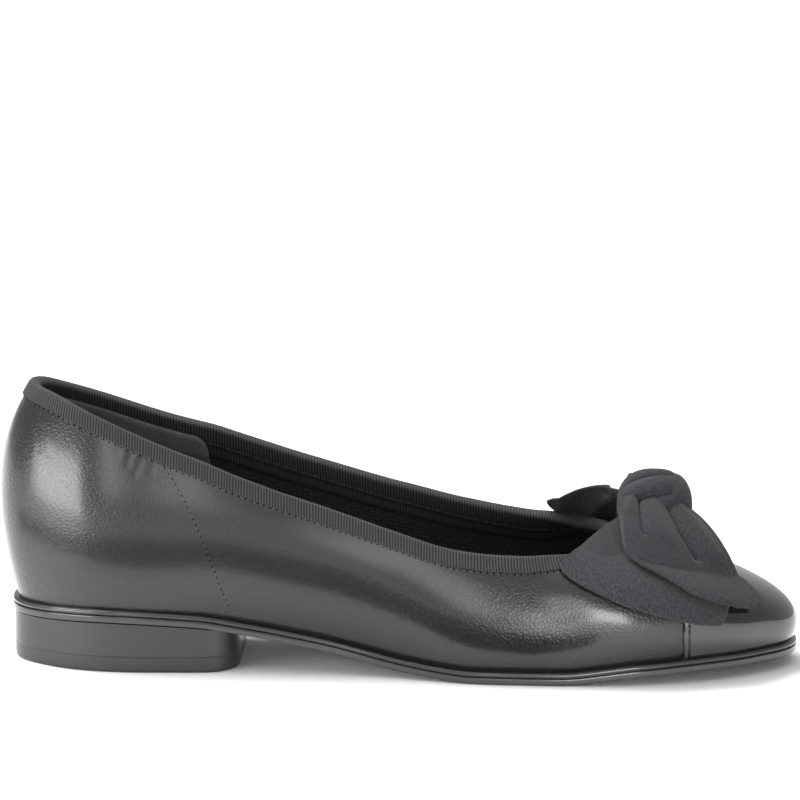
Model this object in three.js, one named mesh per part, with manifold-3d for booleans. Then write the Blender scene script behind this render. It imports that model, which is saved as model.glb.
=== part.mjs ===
// Ballet flat, right shoe: a low block heel, a patent toe cap, a ribbon-bound collar and a tied bow.
// Millimetres, +Z up, +X to the toe, +Y to the inner side of the foot. The shape is worked out from
// the back of the heel, and the finished shoe is shifted so that its origin is the middle of the
// heel's tread, on the floor.

import * as THREE from 'three';
import Module from 'manifold-3d';

const wasm = await Module();
wasm.setup();

// Driving sizes of the last and the sole
const SOLE_LENGTH = 250;
const BALL_WIDTH = 74;
const COLLAR_HEIGHT = 67.7;
const HEEL_HEIGHT = 15.4;
const TOE_SPRING = 4;
const SOLE_THICKNESS = 4;
const SOLE_RAND = 1.7;
const GAP = 0.3;

// Heel block and its tread
const HEEL_BREAST = 74;
const HEEL_CORNER = 12;
const HEEL_SET_BACK = 0.6;
const TOP_LIFT = 5;
const TOP_LIFT_EDGE = 1.2;

// Upper and what is sewn to it
const WALL = 2.1;
const INSOLE_THICKNESS = 2;
const CAP_START = 0.858 * SOLE_LENGTH;
const CAP_DEPTH = 0.9;
const CAP_PROUD = 0.5;
const BINDING_THICKNESS = 0.8;
const BINDING_OUTSIDE = 4.6;
const BINDING_INSIDE = 10;
const GRIP_THICKNESS = 0.9;
const GRIP_BELOW_COLLAR = 3.4;
const GRIP_FRONT = 60;
const GRIP_SLANT = 8;

// Bow. The last values are shares of the knot: the depth and bluntness of its folds, how much of its
// height stands over the vamp to its middle, and how far its inside holds the ends of the ribbon.
const KNOT_LENGTH = 24;
const KNOT_WIDTH = 21;
const KNOT_HEIGHT = 23.4;
const KNOT_AHEAD_OF_THROAT = 13;
const BOW_LENGTH = 60;
const BOW_SPREAD = 38;
const BOW_DROP = 35;
const RIBBON = 1.2;
const KNOT_FOLDS = 7;
const KNOT_FOLD_DEPTH = 0.05;
const KNOT_BLUNTNESS = 2.5;
const KNOT_SEAT = 0.54;
const ROOT_LENGTH = 0.8;
const ROOT_SIDE = 0.2;

// Mesh fineness
const STATIONS = 88;
const WALL_ROWS = 9;
const HEEL_BACK_STEPS = 12;
const HEEL_CORNER_STEPS = 5;
const GRIP_STEPS = 26;
const KNOT_RINGS = 12;
const KNOT_SIDES = 22;
const RIBBON_ACROSS = 10;
const RIBBON_ALONG = 7;

const BALL_HALF = BALL_WIDTH / 2;

// A table of rows becomes a list of objects with named columns
function table(columns, rows) {
  return rows.map((row) => Object.fromEntries(columns.map((name, i) => [name, row[i]])));
}

// Underside of the sole along its length: shares of the heel height and of the toe spring
const UNDERSIDE = table(['at', 'heel', 'toe'], [
  [0.00, 1.00, 0.00],
  [0.12, 1.05, 0.00],
  [0.24, 0.96, 0.00],
  [0.30, 0.81, 0.00],
  [0.40, 0.51, 0.00],
  [0.52, 0.11, 0.00],
  [0.60, 0.00, 0.00],
  [0.70, 0.00, 0.00],
  [0.80, 0.00, 0.65],
  [0.92, 0.00, 1.00],
  [1.00, 0.00, 1.00],
]);

// Edge of the sole from its underside up: shares of the rand and of the thickness
const SOLE_EDGE = table(['out', 'up'], [
  [0.53, 0.00],
  [1.00, 0.13],
  [1.00, 0.52],
  [0.59, 0.64],
  [1.06, 0.84],
  [0.71, 1.00],
]);

// Sections of the last from the heel back to the toe tip, outer and inner side. The foot line is where
// the wall meets the sole, the top line is the edge of the collar. At is a share of the sole length,
// out and in are shares of half the ball width, high is a share of the collar height. Bulge and rise
// steer the wall at its foot, reach and fall at its top.
const LAST = table(
  ['footAt', 'footOut', 'footIn', 'topAt', 'topOut', 'topIn', 'highOut', 'highIn',
    'bulgeOut', 'bulgeIn', 'rise', 'reach', 'fall'],
  [
    [0.009, 0.000, 0.000, 0.029, 0.000, 0.000, 1.010, 1.010, 0.120, 0.120, 0.29, 0.40, 0.32],
    [0.017, 0.257, 0.257, 0.038, 0.220, 0.220, 1.007, 0.997, 0.118, 0.118, 0.29, 0.375, 0.32],
    [0.044, 0.454, 0.454, 0.058, 0.385, 0.380, 0.989, 0.960, 0.120, 0.120, 0.29, 0.29, 0.32],
    [0.100, 0.649, 0.649, 0.104, 0.573, 0.560, 0.915, 0.884, 0.149, 0.149, 0.29, 0.19, 0.32],
    [0.180, 0.703, 0.697, 0.184, 0.649, 0.655, 0.794, 0.785, 0.122, 0.130, 0.26, 0.135, 0.26],
    [0.280, 0.670, 0.635, 0.276, 0.703, 0.703, 0.699, 0.722, 0.175, 0.160, 0.233, 0.10, 0.22],
    [0.400, 0.673, 0.527, 0.384, 0.730, 0.730, 0.640, 0.675, 0.190, 0.270, 0.20, 0.105, 0.20],
    [0.500, 0.765, 0.554, 0.480, 0.784, 0.757, 0.606, 0.650, 0.189, 0.300, 0.19, 0.108, 0.19],
    [0.580, 0.900, 0.703, 0.556, 0.838, 0.784, 0.556, 0.609, 0.180, 0.270, 0.175, 0.12, 0.175],
    [0.660, 0.940, 0.859, 0.624, 0.857, 0.805, 0.527, 0.558, 0.190, 0.257, 0.175, 0.135, 0.167],
    [0.740, 0.943, 0.951, 0.680, 0.819, 0.784, 0.513, 0.523, 0.210, 0.230, 0.182, 0.19, 0.145],
    [0.800, 0.914, 0.951, 0.716, 0.735, 0.716, 0.482, 0.486, 0.216, 0.216, 0.20, 0.38, 0.116],
    [0.860, 0.805, 0.886, 0.740, 0.595, 0.581, 0.474, 0.474, 0.216, 0.216, 0.225, 0.55, 0.102],
    [0.918, 0.632, 0.711, 0.756, 0.420, 0.420, 0.472, 0.472, 0.216, 0.216, 0.235, 0.73, 0.105],
    [0.959, 0.416, 0.468, 0.763, 0.270, 0.270, 0.473, 0.473, 0.222, 0.222, 0.237, 0.87, 0.12],
    [0.984, 0.245, 0.275, 0.767, 0.135, 0.135, 0.474, 0.474, 0.222, 0.222, 0.237, 0.94, 0.132],
    [0.996, 0.000, 0.000, 0.768, 0.000, 0.000, 0.474, 0.474, 0.225, 0.225, 0.235, 0.973, 0.138],
  ],
);

// Rays of the bow's pieces from the heel side to the toe side. A ray leaves the knot at root and ends
// at its hem. Ahead is a share of the bow's length from the knot, side of its spread and down of its
// drop. Root and belly are shares of the knot's height.
const RAY = ['ahead', 'side', 'down', 'root', 'belly'];
const NEAR_LOOP = table(RAY, [
  [-0.510, 0.842, 0.405, -0.08, 0.24],
  [-0.360, 0.947, 0.535, -0.12, 0.19],
  [-0.145, 0.987, 0.690, -0.20, 0.16],
  [0.078, 0.947, 0.800, -0.20, 0.16],
  [0.245, 0.826, 0.880, -0.20, 0.16],
  [0.337, 0.740, 0.900, -0.20, 0.14],
  [0.360, 0.560, 0.743, -0.20, 0.12],
]);
const NEAR_TAIL = table(RAY, [
  [-0.167, 0.500, 0.114, 0.16, 0.22],
  [-0.145, 0.675, 0.271, 0.16, 0.26],
  [-0.045, 0.770, 0.429, 0.16, 0.26],
  [0.127, 0.776, 0.635, 0.16, 0.26],
  [0.290, 0.690, 0.780, 0.14, 0.28],
  [0.417, 0.560, 0.855, 0.10, 0.28],
  [0.505, 0.420, 0.890, 0.06, 0.28],
]);
const FAR_LOOP = table(RAY, [
  [-0.575, 0.720, 0.225, 0.24, 0.17],
  [-0.425, 0.868, 0.430, 0.04, 0.19],
  [-0.183, 0.974, 0.660, -0.20, 0.14],
  [0.050, 0.947, 0.800, -0.20, 0.16],
  [0.217, 0.826, 0.880, -0.20, 0.16],
  [0.317, 0.730, 0.900, -0.20, 0.14],
  [0.360, 0.560, 0.743, -0.20, 0.12],
]);
const FAR_TAIL = table(RAY, [
  [-0.100, 0.560, 0.060, 0.30, 0.30],
  [-0.100, 0.740, 0.240, 0.26, 0.32],
  [-0.050, 0.790, 0.429, 0.16, 0.28],
  [0.083, 0.776, 0.650, 0.14, 0.26],
  [0.170, 0.720, 0.780, 0.13, 0.28],
  [0.240, 0.640, 0.860, 0.10, 0.28],
  [0.280, 0.520, 0.900, 0.06, 0.26],
]);

// Smooth curve through (x, y) pairs that never overshoots them and keeps level stretches level
function steadyCurve(xs, ys) {
  const steps = xs.slice(1).map((x, i) => (ys[i + 1] - ys[i]) / (x - xs[i]));
  const slopes = xs.map((_, i) => {
    if (i === 0 || i === xs.length - 1) return 0;
    const [before, after] = [steps[i - 1], steps[i]];
    return before * after <= 0 ? 0 : (2 * before * after) / (before + after);
  });
  return (x) => {
    const last = xs.length - 1;
    if (x <= xs[0]) return ys[0];
    if (x >= xs[last]) return ys[last];
    const i = xs.findIndex((end, j) => j > 0 && x <= end) - 1;
    const width = xs[i + 1] - xs[i];
    const s = (x - xs[i]) / width;
    const rise = ys[i + 1] - ys[i];
    return ys[i] + rise * s * s * (3 - 2 * s)
      + width * s * (1 - s) * (slopes[i] * (1 - s) - slopes[i + 1] * s);
  };
}

// Gaussian elimination with pivoting, for the small systems of the ring splines
function solve(matrix, right) {
  const n = right.length;
  const rows = matrix.map((row, i) => [...row, right[i]]);
  for (let c = 0; c < n; c += 1) {
    let best = c;
    for (let r = c + 1; r < n; r += 1) {
      if (Math.abs(rows[r][c]) > Math.abs(rows[best][c])) best = r;
    }
    [rows[c], rows[best]] = [rows[best], rows[c]];
    for (let r = 0; r < n; r += 1) {
      if (r === c) continue;
      const factor = rows[r][c] / rows[c][c];
      for (let k = c; k <= n; k += 1) rows[r][k] -= factor * rows[c][k];
    }
  }
  return rows.map((row, i) => row[n] / row[i]);
}

// Closed cubic spline with smooth bends through values at knots on a ring of length 1
function ringSpline(knots, values) {
  const n = knots.length;
  const widths = knots.map((k, i) => (i === n - 1 ? 1 + knots[0] : knots[i + 1]) - k);
  const matrix = knots.map(() => new Array(n).fill(0));
  const right = knots.map((_, i) => {
    const before = (i + n - 1) % n;
    const after = (i + 1) % n;
    matrix[i][before] += widths[before];
    matrix[i][i] += 2 * (widths[before] + widths[i]);
    matrix[i][after] += widths[i];
    return 6 * ((values[after] - values[i]) / widths[i]
      - (values[i] - values[before]) / widths[before]);
  });
  const bends = solve(matrix, right);
  return (ring) => {
    const u = ring - Math.floor(ring);
    let i = n - 1;
    while (knots[i] > u) i -= 1;
    const after = (i + 1) % n;
    const b = (u - knots[i]) / widths[i];
    const a = 1 - b;
    return a * values[i] + b * values[after]
      + ((a ** 3 - a) * bends[i] + (b ** 3 - b) * bends[after]) * widths[i] ** 2 / 6;
  };
}

// Height of the sole's underside and top over the floor, at a distance from the heel back
const undersideAt = steadyCurve(
  UNDERSIDE.map((row) => row.at * SOLE_LENGTH),
  UNDERSIDE.map((row) => row.heel * HEEL_HEIGHT + row.toe * TOE_SPRING),
);
const soleTopAt = (x) => undersideAt(x) + SOLE_THICKNESS;

// Ring position of each section: 0 at the heel back, 0.5 at the toe tip, past it the inner side
const chords = LAST.map((row, i) => {
  if (i === 0) return 0;
  const across = (a) => (a.footOut + a.footIn) / 2 * BALL_HALF;
  return Math.hypot((row.footAt - LAST[i - 1].footAt) * SOLE_LENGTH, across(row) - across(LAST[i - 1]));
});
const perimeter = chords.reduce((sum, chord) => sum + chord, 0);
const outerKnots = chords.map((_, i) => {
  const run = chords.slice(0, i + 1).reduce((sum, chord) => sum + chord, 0);
  return 0.5 * run / perimeter;
});
const innerRows = LAST.slice(1, -1).reverse();
const ringKnots = [...outerKnots, ...outerKnots.slice(1, -1).reverse().map((k) => 1 - k)];

function aroundRing(outer, inner) {
  return ringSpline(ringKnots, [...LAST.map(outer), ...innerRows.map(inner)]);
}

const both = (value) => aroundRing(value, value);
const footX = both((r) => r.footAt * SOLE_LENGTH);
const footY = aroundRing((r) => -r.footOut * BALL_HALF, (r) => r.footIn * BALL_HALF);
const topX = both((r) => r.topAt * SOLE_LENGTH);
const topY = aroundRing((r) => -r.topOut * BALL_HALF, (r) => r.topIn * BALL_HALF);
const topHigh = aroundRing((r) => r.highOut * COLLAR_HEIGHT, (r) => r.highIn * COLLAR_HEIGHT);
const bulge = aroundRing((r) => r.bulgeOut * BALL_HALF, (r) => r.bulgeIn * BALL_HALF);
const rise = both((r) => r.rise * COLLAR_HEIGHT);
const reach = both((r) => r.reach * BALL_HALF);
const fall = both((r) => r.fall * COLLAR_HEIGHT);

// Direction in plan that points out of a closed line given by two ring functions
const STEP = 1e-4;
function outward(lineX, lineY, u) {
  const dx = lineX(u + STEP) - lineX(u - STEP);
  const dy = lineY(u + STEP) - lineY(u - STEP);
  return new THREE.Vector3(dy, -dx, 0).normalize();
}

// Point of the foot line moved outwards in plan, without a height
function footPlan(u, out) {
  return new THREE.Vector3(footX(u), footY(u), 0).addScaledVector(outward(footX, footY, u), out);
}

// Foot of the wall, standing the gap over the sole
function wallFoot(u, out) {
  const point = footPlan(u, out);
  point.z = soleTopAt(point.x) + GAP;
  return point;
}

// Section curve of the wall from the collar down to the sole at one ring position
const sectionCache = new Map();
function section(u) {
  const key = u.toFixed(9);
  if (!sectionCache.has(key)) {
    const foot = wallFoot(u, 0);
    const top = new THREE.Vector3(topX(u), topY(u), foot.z + topHigh(u));
    const underTop = top.clone().addScaledVector(outward(topX, topY, u), reach(u));
    underTop.z -= fall(u);
    const overFoot = wallFoot(u, bulge(u));
    overFoot.z = foot.z + rise(u);
    sectionCache.set(key, new THREE.CubicBezierCurve3(top, underTop, overFoot, foot));
  }
  return sectionCache.get(key);
}

// Direction that points out of the upper: across the section curve and the ring
function skinNormal(u, t) {
  const along = section(u + STEP).getPoint(t).sub(section(u - STEP).getPoint(t));
  return section(u).getTangent(t).cross(along).normalize();
}

// Point of the upper at section parameter t, moved out of its surface
function skin(u, t, out) {
  return section(u).getPoint(t).addScaledVector(skinNormal(u, t), out);
}

// Point of the upper a distance down from the collar's edge, or over it where the distance is negative
function skinBelow(u, down, out) {
  const curve = section(u);
  if (down > 0) return skin(u, curve.getUtoTmapping(0, down), out);
  return skin(u, 0, out).addScaledVector(curve.getTangent(0), down);
}

// Indexed geometry from points and triangles, turned so that its faces point out
function geometryOf(points, triangles) {
  let volume = 0;
  for (const [a, b, c] of triangles) {
    volume += points[a].dot(points[b].clone().cross(points[c]));
  }
  const turned = volume < 0 ? triangles.map(([a, b, c]) => [a, c, b]) : triangles;
  const geometry = new THREE.BufferGeometry();
  geometry.setAttribute('position', new THREE.Float32BufferAttribute(points.flatMap((p) => p.toArray()), 3));
  geometry.setIndex(turned.flat());
  return geometry;
}

const quad = (a, b, c, d) => [[a, b, c], [a, c, d]];

// Flat lid over a ring whose point i faces point n - i: a ladder of level rungs
function ladder(start, n, up) {
  const faces = [[start, start + 1, start + n - 1]];
  for (let i = 1; i < n / 2 - 1; i += 1) {
    faces.push(...quad(start + i, start + i + 1, start + n - i - 1, start + n - i));
  }
  faces.push([start + n / 2 - 1, start + n / 2, start + n / 2 + 1]);
  return up ? faces : faces.map(([a, b, c]) => [a, c, b]);
}

// Solid from a stack of rings: closed on itself like a tyre, or with a lid at each end
function ringSolid(rings, tyre) {
  const n = rings[0].length;
  const faces = [];
  const bands = tyre ? rings.length : rings.length - 1;
  for (let r = 0; r < bands; r += 1) {
    const lower = r * n;
    const upper = ((r + 1) % rings.length) * n;
    for (let i = 0; i < n; i += 1) {
      const j = (i + 1) % n;
      faces.push(...quad(lower + i, upper + i, upper + j, lower + j));
    }
  }
  if (!tyre) {
    faces.push(...ladder(0, n, true), ...ladder((rings.length - 1) * n, n, false));
  }
  return geometryOf(rings.flat(), faces);
}

// Solid between two grids of points, closed round its rim
function patchSolid(outside, inside) {
  const rows = outside.length;
  const cols = outside[0].length;
  const half = rows * cols;
  const faces = [];
  for (let r = 0; r < rows - 1; r += 1) {
    for (let c = 0; c < cols - 1; c += 1) {
      const a = r * cols + c;
      faces.push(...quad(a, a + 1, a + cols + 1, a + cols));
      faces.push(...quad(half + a, half + a + cols, half + a + cols + 1, half + a + 1));
    }
  }
  const rim = [];
  for (let c = 0; c < cols - 1; c += 1) rim.push(c);
  for (let r = 0; r < rows - 1; r += 1) rim.push(r * cols + cols - 1);
  for (let c = cols - 1; c > 0; c -= 1) rim.push((rows - 1) * cols + c);
  for (let r = rows - 1; r > 0; r -= 1) rim.push(r * cols);
  rim.forEach((a, i) => {
    const b = rim[(i + 1) % rim.length];
    faces.push(...quad(a, half + a, half + b, b));
  });
  return geometryOf([...outside.flat(), ...inside.flat()], faces);
}

// Closed geometry to a solid for cutting, and back
function solidOf(geometry) {
  const { position } = geometry.attributes;
  const mesh = new wasm.Mesh({
    numProp: 3,
    vertProperties: new Float32Array(position.array),
    triVerts: new Uint32Array(geometry.index.array),
  });
  return new wasm.Manifold(mesh);
}

function geometryFrom(solid) {
  const mesh = solid.getMesh();
  const geometry = new THREE.BufferGeometry();
  geometry.setAttribute('position', new THREE.BufferAttribute(mesh.vertProperties, 3));
  geometry.setIndex(new THREE.BufferAttribute(mesh.triVerts, 1));
  return geometry;
}

const ringPlaces = Array.from({ length: STATIONS }, (_, i) => i / STATIONS);
const spread = (count, from, to) => Array.from({ length: count + 1 },
  (_, i) => from + (to - from) * i / count);

// Outsole: a flat band, a groove and a rounded bead run round its edge
function outsole() {
  return ringSolid(SOLE_EDGE.map(({ out, up }) => ringPlaces.map((u) => {
    const point = footPlan(u, out * SOLE_RAND);
    point.z = undersideAt(point.x) + up * SOLE_THICKNESS;
    return point;
  })), false);
}

// Ring position at which the foot line reaches a distance from the heel back, on the outer side
function outerPlaceAt(x) {
  let [low, high] = [0, 0.5];
  for (let i = 0; i < 40; i += 1) {
    const middle = (low + high) / 2;
    if (footX(middle) < x) low = middle;
    else high = middle;
  }
  return low;
}

// Outline of the heel: the sole's back, two rounded corners and a straight breast
function heelOutline(inset) {
  const out = SOLE_RAND - HEEL_SET_BACK - inset;
  const corner = HEEL_CORNER - inset;
  const cornerX = HEEL_BREAST - HEEL_CORNER;
  const outerEnd = outerPlaceAt(cornerX);
  const outer = spread(HEEL_BACK_STEPS, 0, outerEnd).map((u) => footPlan(u, out));
  const inner = spread(HEEL_BACK_STEPS, 0, outerEnd).map((u) => footPlan(1 - u, out));
  const turn = (start, side) => spread(HEEL_CORNER_STEPS, 0, Math.PI / 2).slice(1).map((angle) => new THREE.Vector3(
    start.x + corner * Math.sin(angle),
    start.y + side * corner * (1 - Math.cos(angle)),
    0,
  ));
  const outerSide = [...outer, ...turn(outer[HEEL_BACK_STEPS], 1)];
  const innerSide = [...inner.slice(1), ...turn(inner[HEEL_BACK_STEPS], -1)];
  const breast = new THREE.Vector3(HEEL_BREAST - inset, 0, 0);
  return [...outerSide, breast, ...innerSide.reverse()];
}

const heelRing = (inset, heightAt) => heelOutline(inset).map((p) => new THREE.Vector3(p.x, p.y, heightAt(p.x)));

function heelBlock() {
  return ringSolid([
    heelRing(0, () => TOP_LIFT + GAP),
    heelRing(0, (x) => undersideAt(x) - GAP),
  ], false);
}

function heelTopLift() {
  return ringSolid([
    heelRing(TOP_LIFT_EDGE, () => 0),
    heelRing(TOP_LIFT_EDGE * 0.3, () => TOP_LIFT_EDGE * 0.3),
    heelRing(0, () => TOP_LIFT_EDGE),
    heelRing(0, () => TOP_LIFT),
  ], false);
}

// Insole: a flat sheet inside the wall, following the top of the sole
function insole() {
  const ring = (up) => ringPlaces.map((u) => {
    const point = wallFoot(u, -WALL - GAP);
    point.z += up;
    return point;
  });
  return ringSolid([ring(0), ring(INSOLE_THICKNESS)], false);
}

// Upper: one wall, open at the collar and underneath
function upperShell() {
  const rows = spread(WALL_ROWS, 0, 1);
  const face = (out) => rows.map((t) => ringPlaces.map((u) => (t === 1 ? wallFoot(u, out) : skin(u, t, out))));
  return ringSolid([...face(0), ...face(-WALL).reverse()], true);
}

// Layer of the toe between two distances from the upper's surface, cut off at the cap's edge
function toeLayer(inside, outside, start, sunk) {
  const places = ringPlaces.filter((u) => footX(u) > start - SOLE_LENGTH / 16);
  const wall = (out) => spread(WALL_ROWS, 0, 1)
    .map((t) => places.map((u) => (t === 1 ? wallFoot(u, out) : skin(u, t, out))));
  const below = (out) => places.map((u) => wallFoot(u, out).setZ(-sunk));
  const face = (out) => (sunk > 0 ? [...wall(out), below(out)] : wall(out));
  const layer = solidOf(patchSolid(face(outside), face(inside)));
  const size = SOLE_LENGTH * 2;
  const ahead = new THREE.BoxGeometry(size, size, size);
  ahead.translate(start + size / 2, 0, 0);
  return layer.intersect(solidOf(weldedBox(ahead)));
}

// A box with its corners shared, as cutting needs
function weldedBox(box) {
  const { position } = box.attributes;
  const seen = new Map();
  const points = [];
  const places = [];
  for (let i = 0; i < position.count; i += 1) {
    const point = new THREE.Vector3().fromBufferAttribute(position, i);
    const key = point.toArray().join();
    if (!seen.has(key)) {
      seen.set(key, points.length);
      points.push(point);
    }
    places.push(seen.get(key));
  }
  const corners = Array.from(box.index.array, (i) => places[i]);
  const faces = [];
  for (let i = 0; i < corners.length; i += 3) faces.push(corners.slice(i, i + 3));
  return geometryOf(points, faces);
}

function upper() {
  const pocket = toeLayer(-CAP_DEPTH, WALL * 2, CAP_START - GAP, SOLE_THICKNESS);
  return geometryFrom(solidOf(upperShell()).subtract(pocket));
}

function toeCap() {
  return geometryFrom(toeLayer(GAP - CAP_DEPTH, CAP_PROUD, CAP_START, 0));
}

// Collar binding: a ribbon folded over the edge of the wall, its long leg inside
function collarBinding() {
  const inner = -WALL - GAP;
  const outer = GAP;
  const thick = BINDING_THICKNESS;
  const fold = table(['down', 'out'], [
    [BINDING_OUTSIDE, outer],
    [BINDING_OUTSIDE, outer + thick],
    [BINDING_OUTSIDE / 2, outer + thick],
    [0, outer + thick],
    [-GAP - thick, (inner + outer) / 2],
    [0, inner - thick],
    [BINDING_INSIDE / 2, inner - thick],
    [BINDING_INSIDE, inner - thick],
    [BINDING_INSIDE, inner],
    [BINDING_INSIDE / 2, inner],
    [-GAP, inner],
    [-GAP, outer],
    [BINDING_OUTSIDE / 2, outer],
  ]);
  return ringSolid(fold.map(({ down, out }) => ringPlaces.map((u) => skinBelow(u, down, out))), true);
}

// Heel grip: a lining round the inside of the heel, over the binding's inner leg, down to the insole
function heelGrip() {
  const onWall = -WALL - 2 * GAP;
  const onBinding = onWall - BINDING_THICKNESS - GAP;
  const foot = (u) => section(u).getLength() - INSOLE_THICKNESS - 3 * GAP;
  const step = BINDING_INSIDE + 2 * BINDING_THICKNESS;
  const lie = [onBinding, onBinding, onWall, onWall, onWall, onWall, onWall];
  const down = (u, r) => [GRIP_BELOW_COLLAR, BINDING_INSIDE + GAP, step, ...spread(4, step, foot(u)).slice(1)][r];
  const face = (deeper) => lie.map((out, r) => {
    const front = outerPlaceAt(GRIP_FRONT + GRIP_SLANT * r / (lie.length - 1));
    return spread(GRIP_STEPS, -front, front).map((u) => skinBelow(u, down(u, r), out - deeper));
  });
  return patchSolid(face(0), face(GRIP_THICKNESS));
}

// Nearest point of the upper's surface to a point over the vamp, by ever smaller steps
const vampPlaces = ringPlaces.filter((u) => u > 0.3 && u < 0.7);
function nearestOnSkin(point) {
  let best = { u: 0.5, t: 0, far: Infinity };
  const visit = (u, t) => {
    if (t < 0 || t > 1) return;
    const far = section(u).getPoint(t).distanceTo(point);
    if (far < best.far) best = { u, t, far };
  };
  vampPlaces.forEach((u) => spread(WALL_ROWS, 0, 1).forEach((t) => visit(u, t)));
  for (let size = 0.5; size > 0.01; size /= 2) {
    const { u, t } = best;
    for (const [du, dt] of [[1, 0], [-1, 0], [0, 1], [0, -1]]) {
      visit(u + du * size / STATIONS, t + dt * size / WALL_ROWS);
    }
  }
  return best;
}

// Point lifted, where it lies too low, to a clearance over the upper's surface
function restOver(point, clearance) {
  const { u, t } = nearestOnSkin(point);
  const normal = skinNormal(u, t);
  const height = point.clone().sub(section(u).getPoint(t)).dot(normal);
  return height < clearance ? point.clone().addScaledVector(normal, clearance - height) : point;
}

// Knot: a bundle of folds that run along the shoe, seated on the vamp
const throat = section(0.5).getPoint(0);
const knotX = throat.x + KNOT_AHEAD_OF_THROAT;
const vampUnderKnot = nearestOnSkin(new THREE.Vector3(knotX, 0, throat.z));
const knotCentre = new THREE.Vector3(
  knotX,
  0,
  section(vampUnderKnot.u).getPoint(vampUnderKnot.t).z + GAP + KNOT_HEIGHT * KNOT_SEAT,
);

function knotPoint(along, round, grow) {
  const slim = Math.max(0, 1 - Math.abs(along) ** KNOT_BLUNTNESS) ** (1 / KNOT_BLUNTNESS);
  const fold = 1 + KNOT_FOLD_DEPTH * Math.sin(KNOT_FOLDS * round) * slim;
  const point = new THREE.Vector3(
    knotCentre.x + along * (KNOT_LENGTH / 2 + grow),
    knotCentre.y + slim * fold * Math.cos(round) * (KNOT_WIDTH / 2 + grow),
    knotCentre.z + slim * fold * Math.sin(round) * (KNOT_HEIGHT / 2 + grow),
  );
  return restOver(point, GAP - grow);
}

function knotSolid(grow) {
  const turns = spread(KNOT_RINGS, -Math.PI / 2, Math.PI / 2).slice(1, -1);
  const rings = turns.map((turn) => spread(KNOT_SIDES, 0, 2 * Math.PI).slice(0, -1)
    .map((round) => knotPoint(Math.sin(turn), round, grow)));
  return ringSolid(rings, false);
}

// Point of a bow piece: a ray runs from inside the knot to its hem, bellying out on the way
function bowPoint(rays, side, across, along, layer) {
  const at = (column) => steadyCurve(spread(rays.length - 1, 0, 1), rays.map((ray) => ray[column]))(across);
  const root = knotCentre.clone().add(new THREE.Vector3(
    (across - 0.5) * KNOT_LENGTH * ROOT_LENGTH,
    side * KNOT_WIDTH * ROOT_SIDE,
    KNOT_HEIGHT * at('root'),
  ));
  const hem = knotCentre.clone().add(new THREE.Vector3(
    at('ahead') * BOW_LENGTH,
    side * at('side') * BOW_SPREAD,
    -at('down') * BOW_DROP,
  ));
  const point = root.lerp(hem, along);
  const outwards = new THREE.Vector3(0, side, 1).normalize();
  point.addScaledVector(outwards, at('belly') * KNOT_HEIGHT * 4 * along * (1 - along));
  const binding = GAP + BINDING_THICKNESS;
  const clearance = binding + 2 * GAP + RIBBON / 2 + layer * (RIBBON + 3 * GAP);
  return restOver(point, clearance);
}

// Bow piece: a doubled ribbon, trimmed where it comes out of the knot
function bowPiece(rays, side, layer) {
  const acrossSteps = spread(RIBBON_ACROSS, 0, 1);
  const alongSteps = spread(RIBBON_ALONG, 0, 1);
  const middle = alongSteps.map((along) => acrossSteps.map((across) => bowPoint(rays, side, across, along, layer)));
  const face = (out) => middle.map((row, r) => row.map((point, c) => {
    const next = middle[Math.min(r + 1, middle.length - 1)][c];
    const last = middle[Math.max(r - 1, 0)][c];
    const right = row[Math.min(c + 1, row.length - 1)];
    const left = row[Math.max(c - 1, 0)];
    const normal = next.clone().sub(last).cross(right.clone().sub(left)).normalize();
    return point.clone().addScaledVector(normal, side * out);
  }));
  const sheet = solidOf(patchSolid(face(RIBBON / 2), face(-RIBBON / 2)));
  return geometryFrom(sheet.subtract(solidOf(knotSolid(GAP))));
}

// Finishes
const leather = { color: 0x2a2727, roughness: 0.38, metalness: 0 };
const patent = { color: 0x2b2523, roughness: 0.08, metalness: 0 };
const grosgrain = { color: 0x3a3a3b, roughness: 0.85, metalness: 0 };
const suede = { color: 0x3b3c3d, roughness: 0.95, metalness: 0 };
const lining = { color: 0x222223, roughness: 0.9, metalness: 0 };
const crepe = { color: 0x45424a, roughness: 0.9, metalness: 0 };
const rubber = { color: 0x262322, roughness: 0.5, metalness: 0 };

const shoe = new THREE.Group();

function add(name, geometry, finish) {
  const mesh = new THREE.Mesh(geometry, new THREE.MeshStandardMaterial(finish));
  mesh.name = name;
  shoe.add(mesh);
}

add('outsole', outsole(), rubber);
add('heel_block', heelBlock(), rubber);
add('heel_top_lift', heelTopLift(), rubber);
add('insole', insole(), lining);
add('upper', upper(), leather);
add('toe_cap', toeCap(), patent);
add('collar_binding', collarBinding(), grosgrain);
add('heel_grip', heelGrip(), suede);
add('bow_loop_near', bowPiece(NEAR_LOOP, -1, 0), crepe);
add('bow_tail_near', bowPiece(NEAR_TAIL, -1, 1), crepe);
add('bow_loop_far', bowPiece(FAR_LOOP, 1, 0), crepe);
add('bow_tail_far', bowPiece(FAR_TAIL, 1, 1), crepe);
add('bow_knot', knotSolid(0), crepe);

shoe.position.x = -HEEL_BREAST / 2;

export default shoe;
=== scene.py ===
# Ballet flat, right shoe, seen from its outer side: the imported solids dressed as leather, ribbon and
# rubber. Metres throughout, +X to the toe, +Z up, origin in the middle of the heel's tread. The shoe's
# own shapes are worked out from the back of the heel, and put() moves them to that origin.

import math

import bmesh
import bpy
import numpy as np
from mathutils import Matrix, Vector


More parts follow.
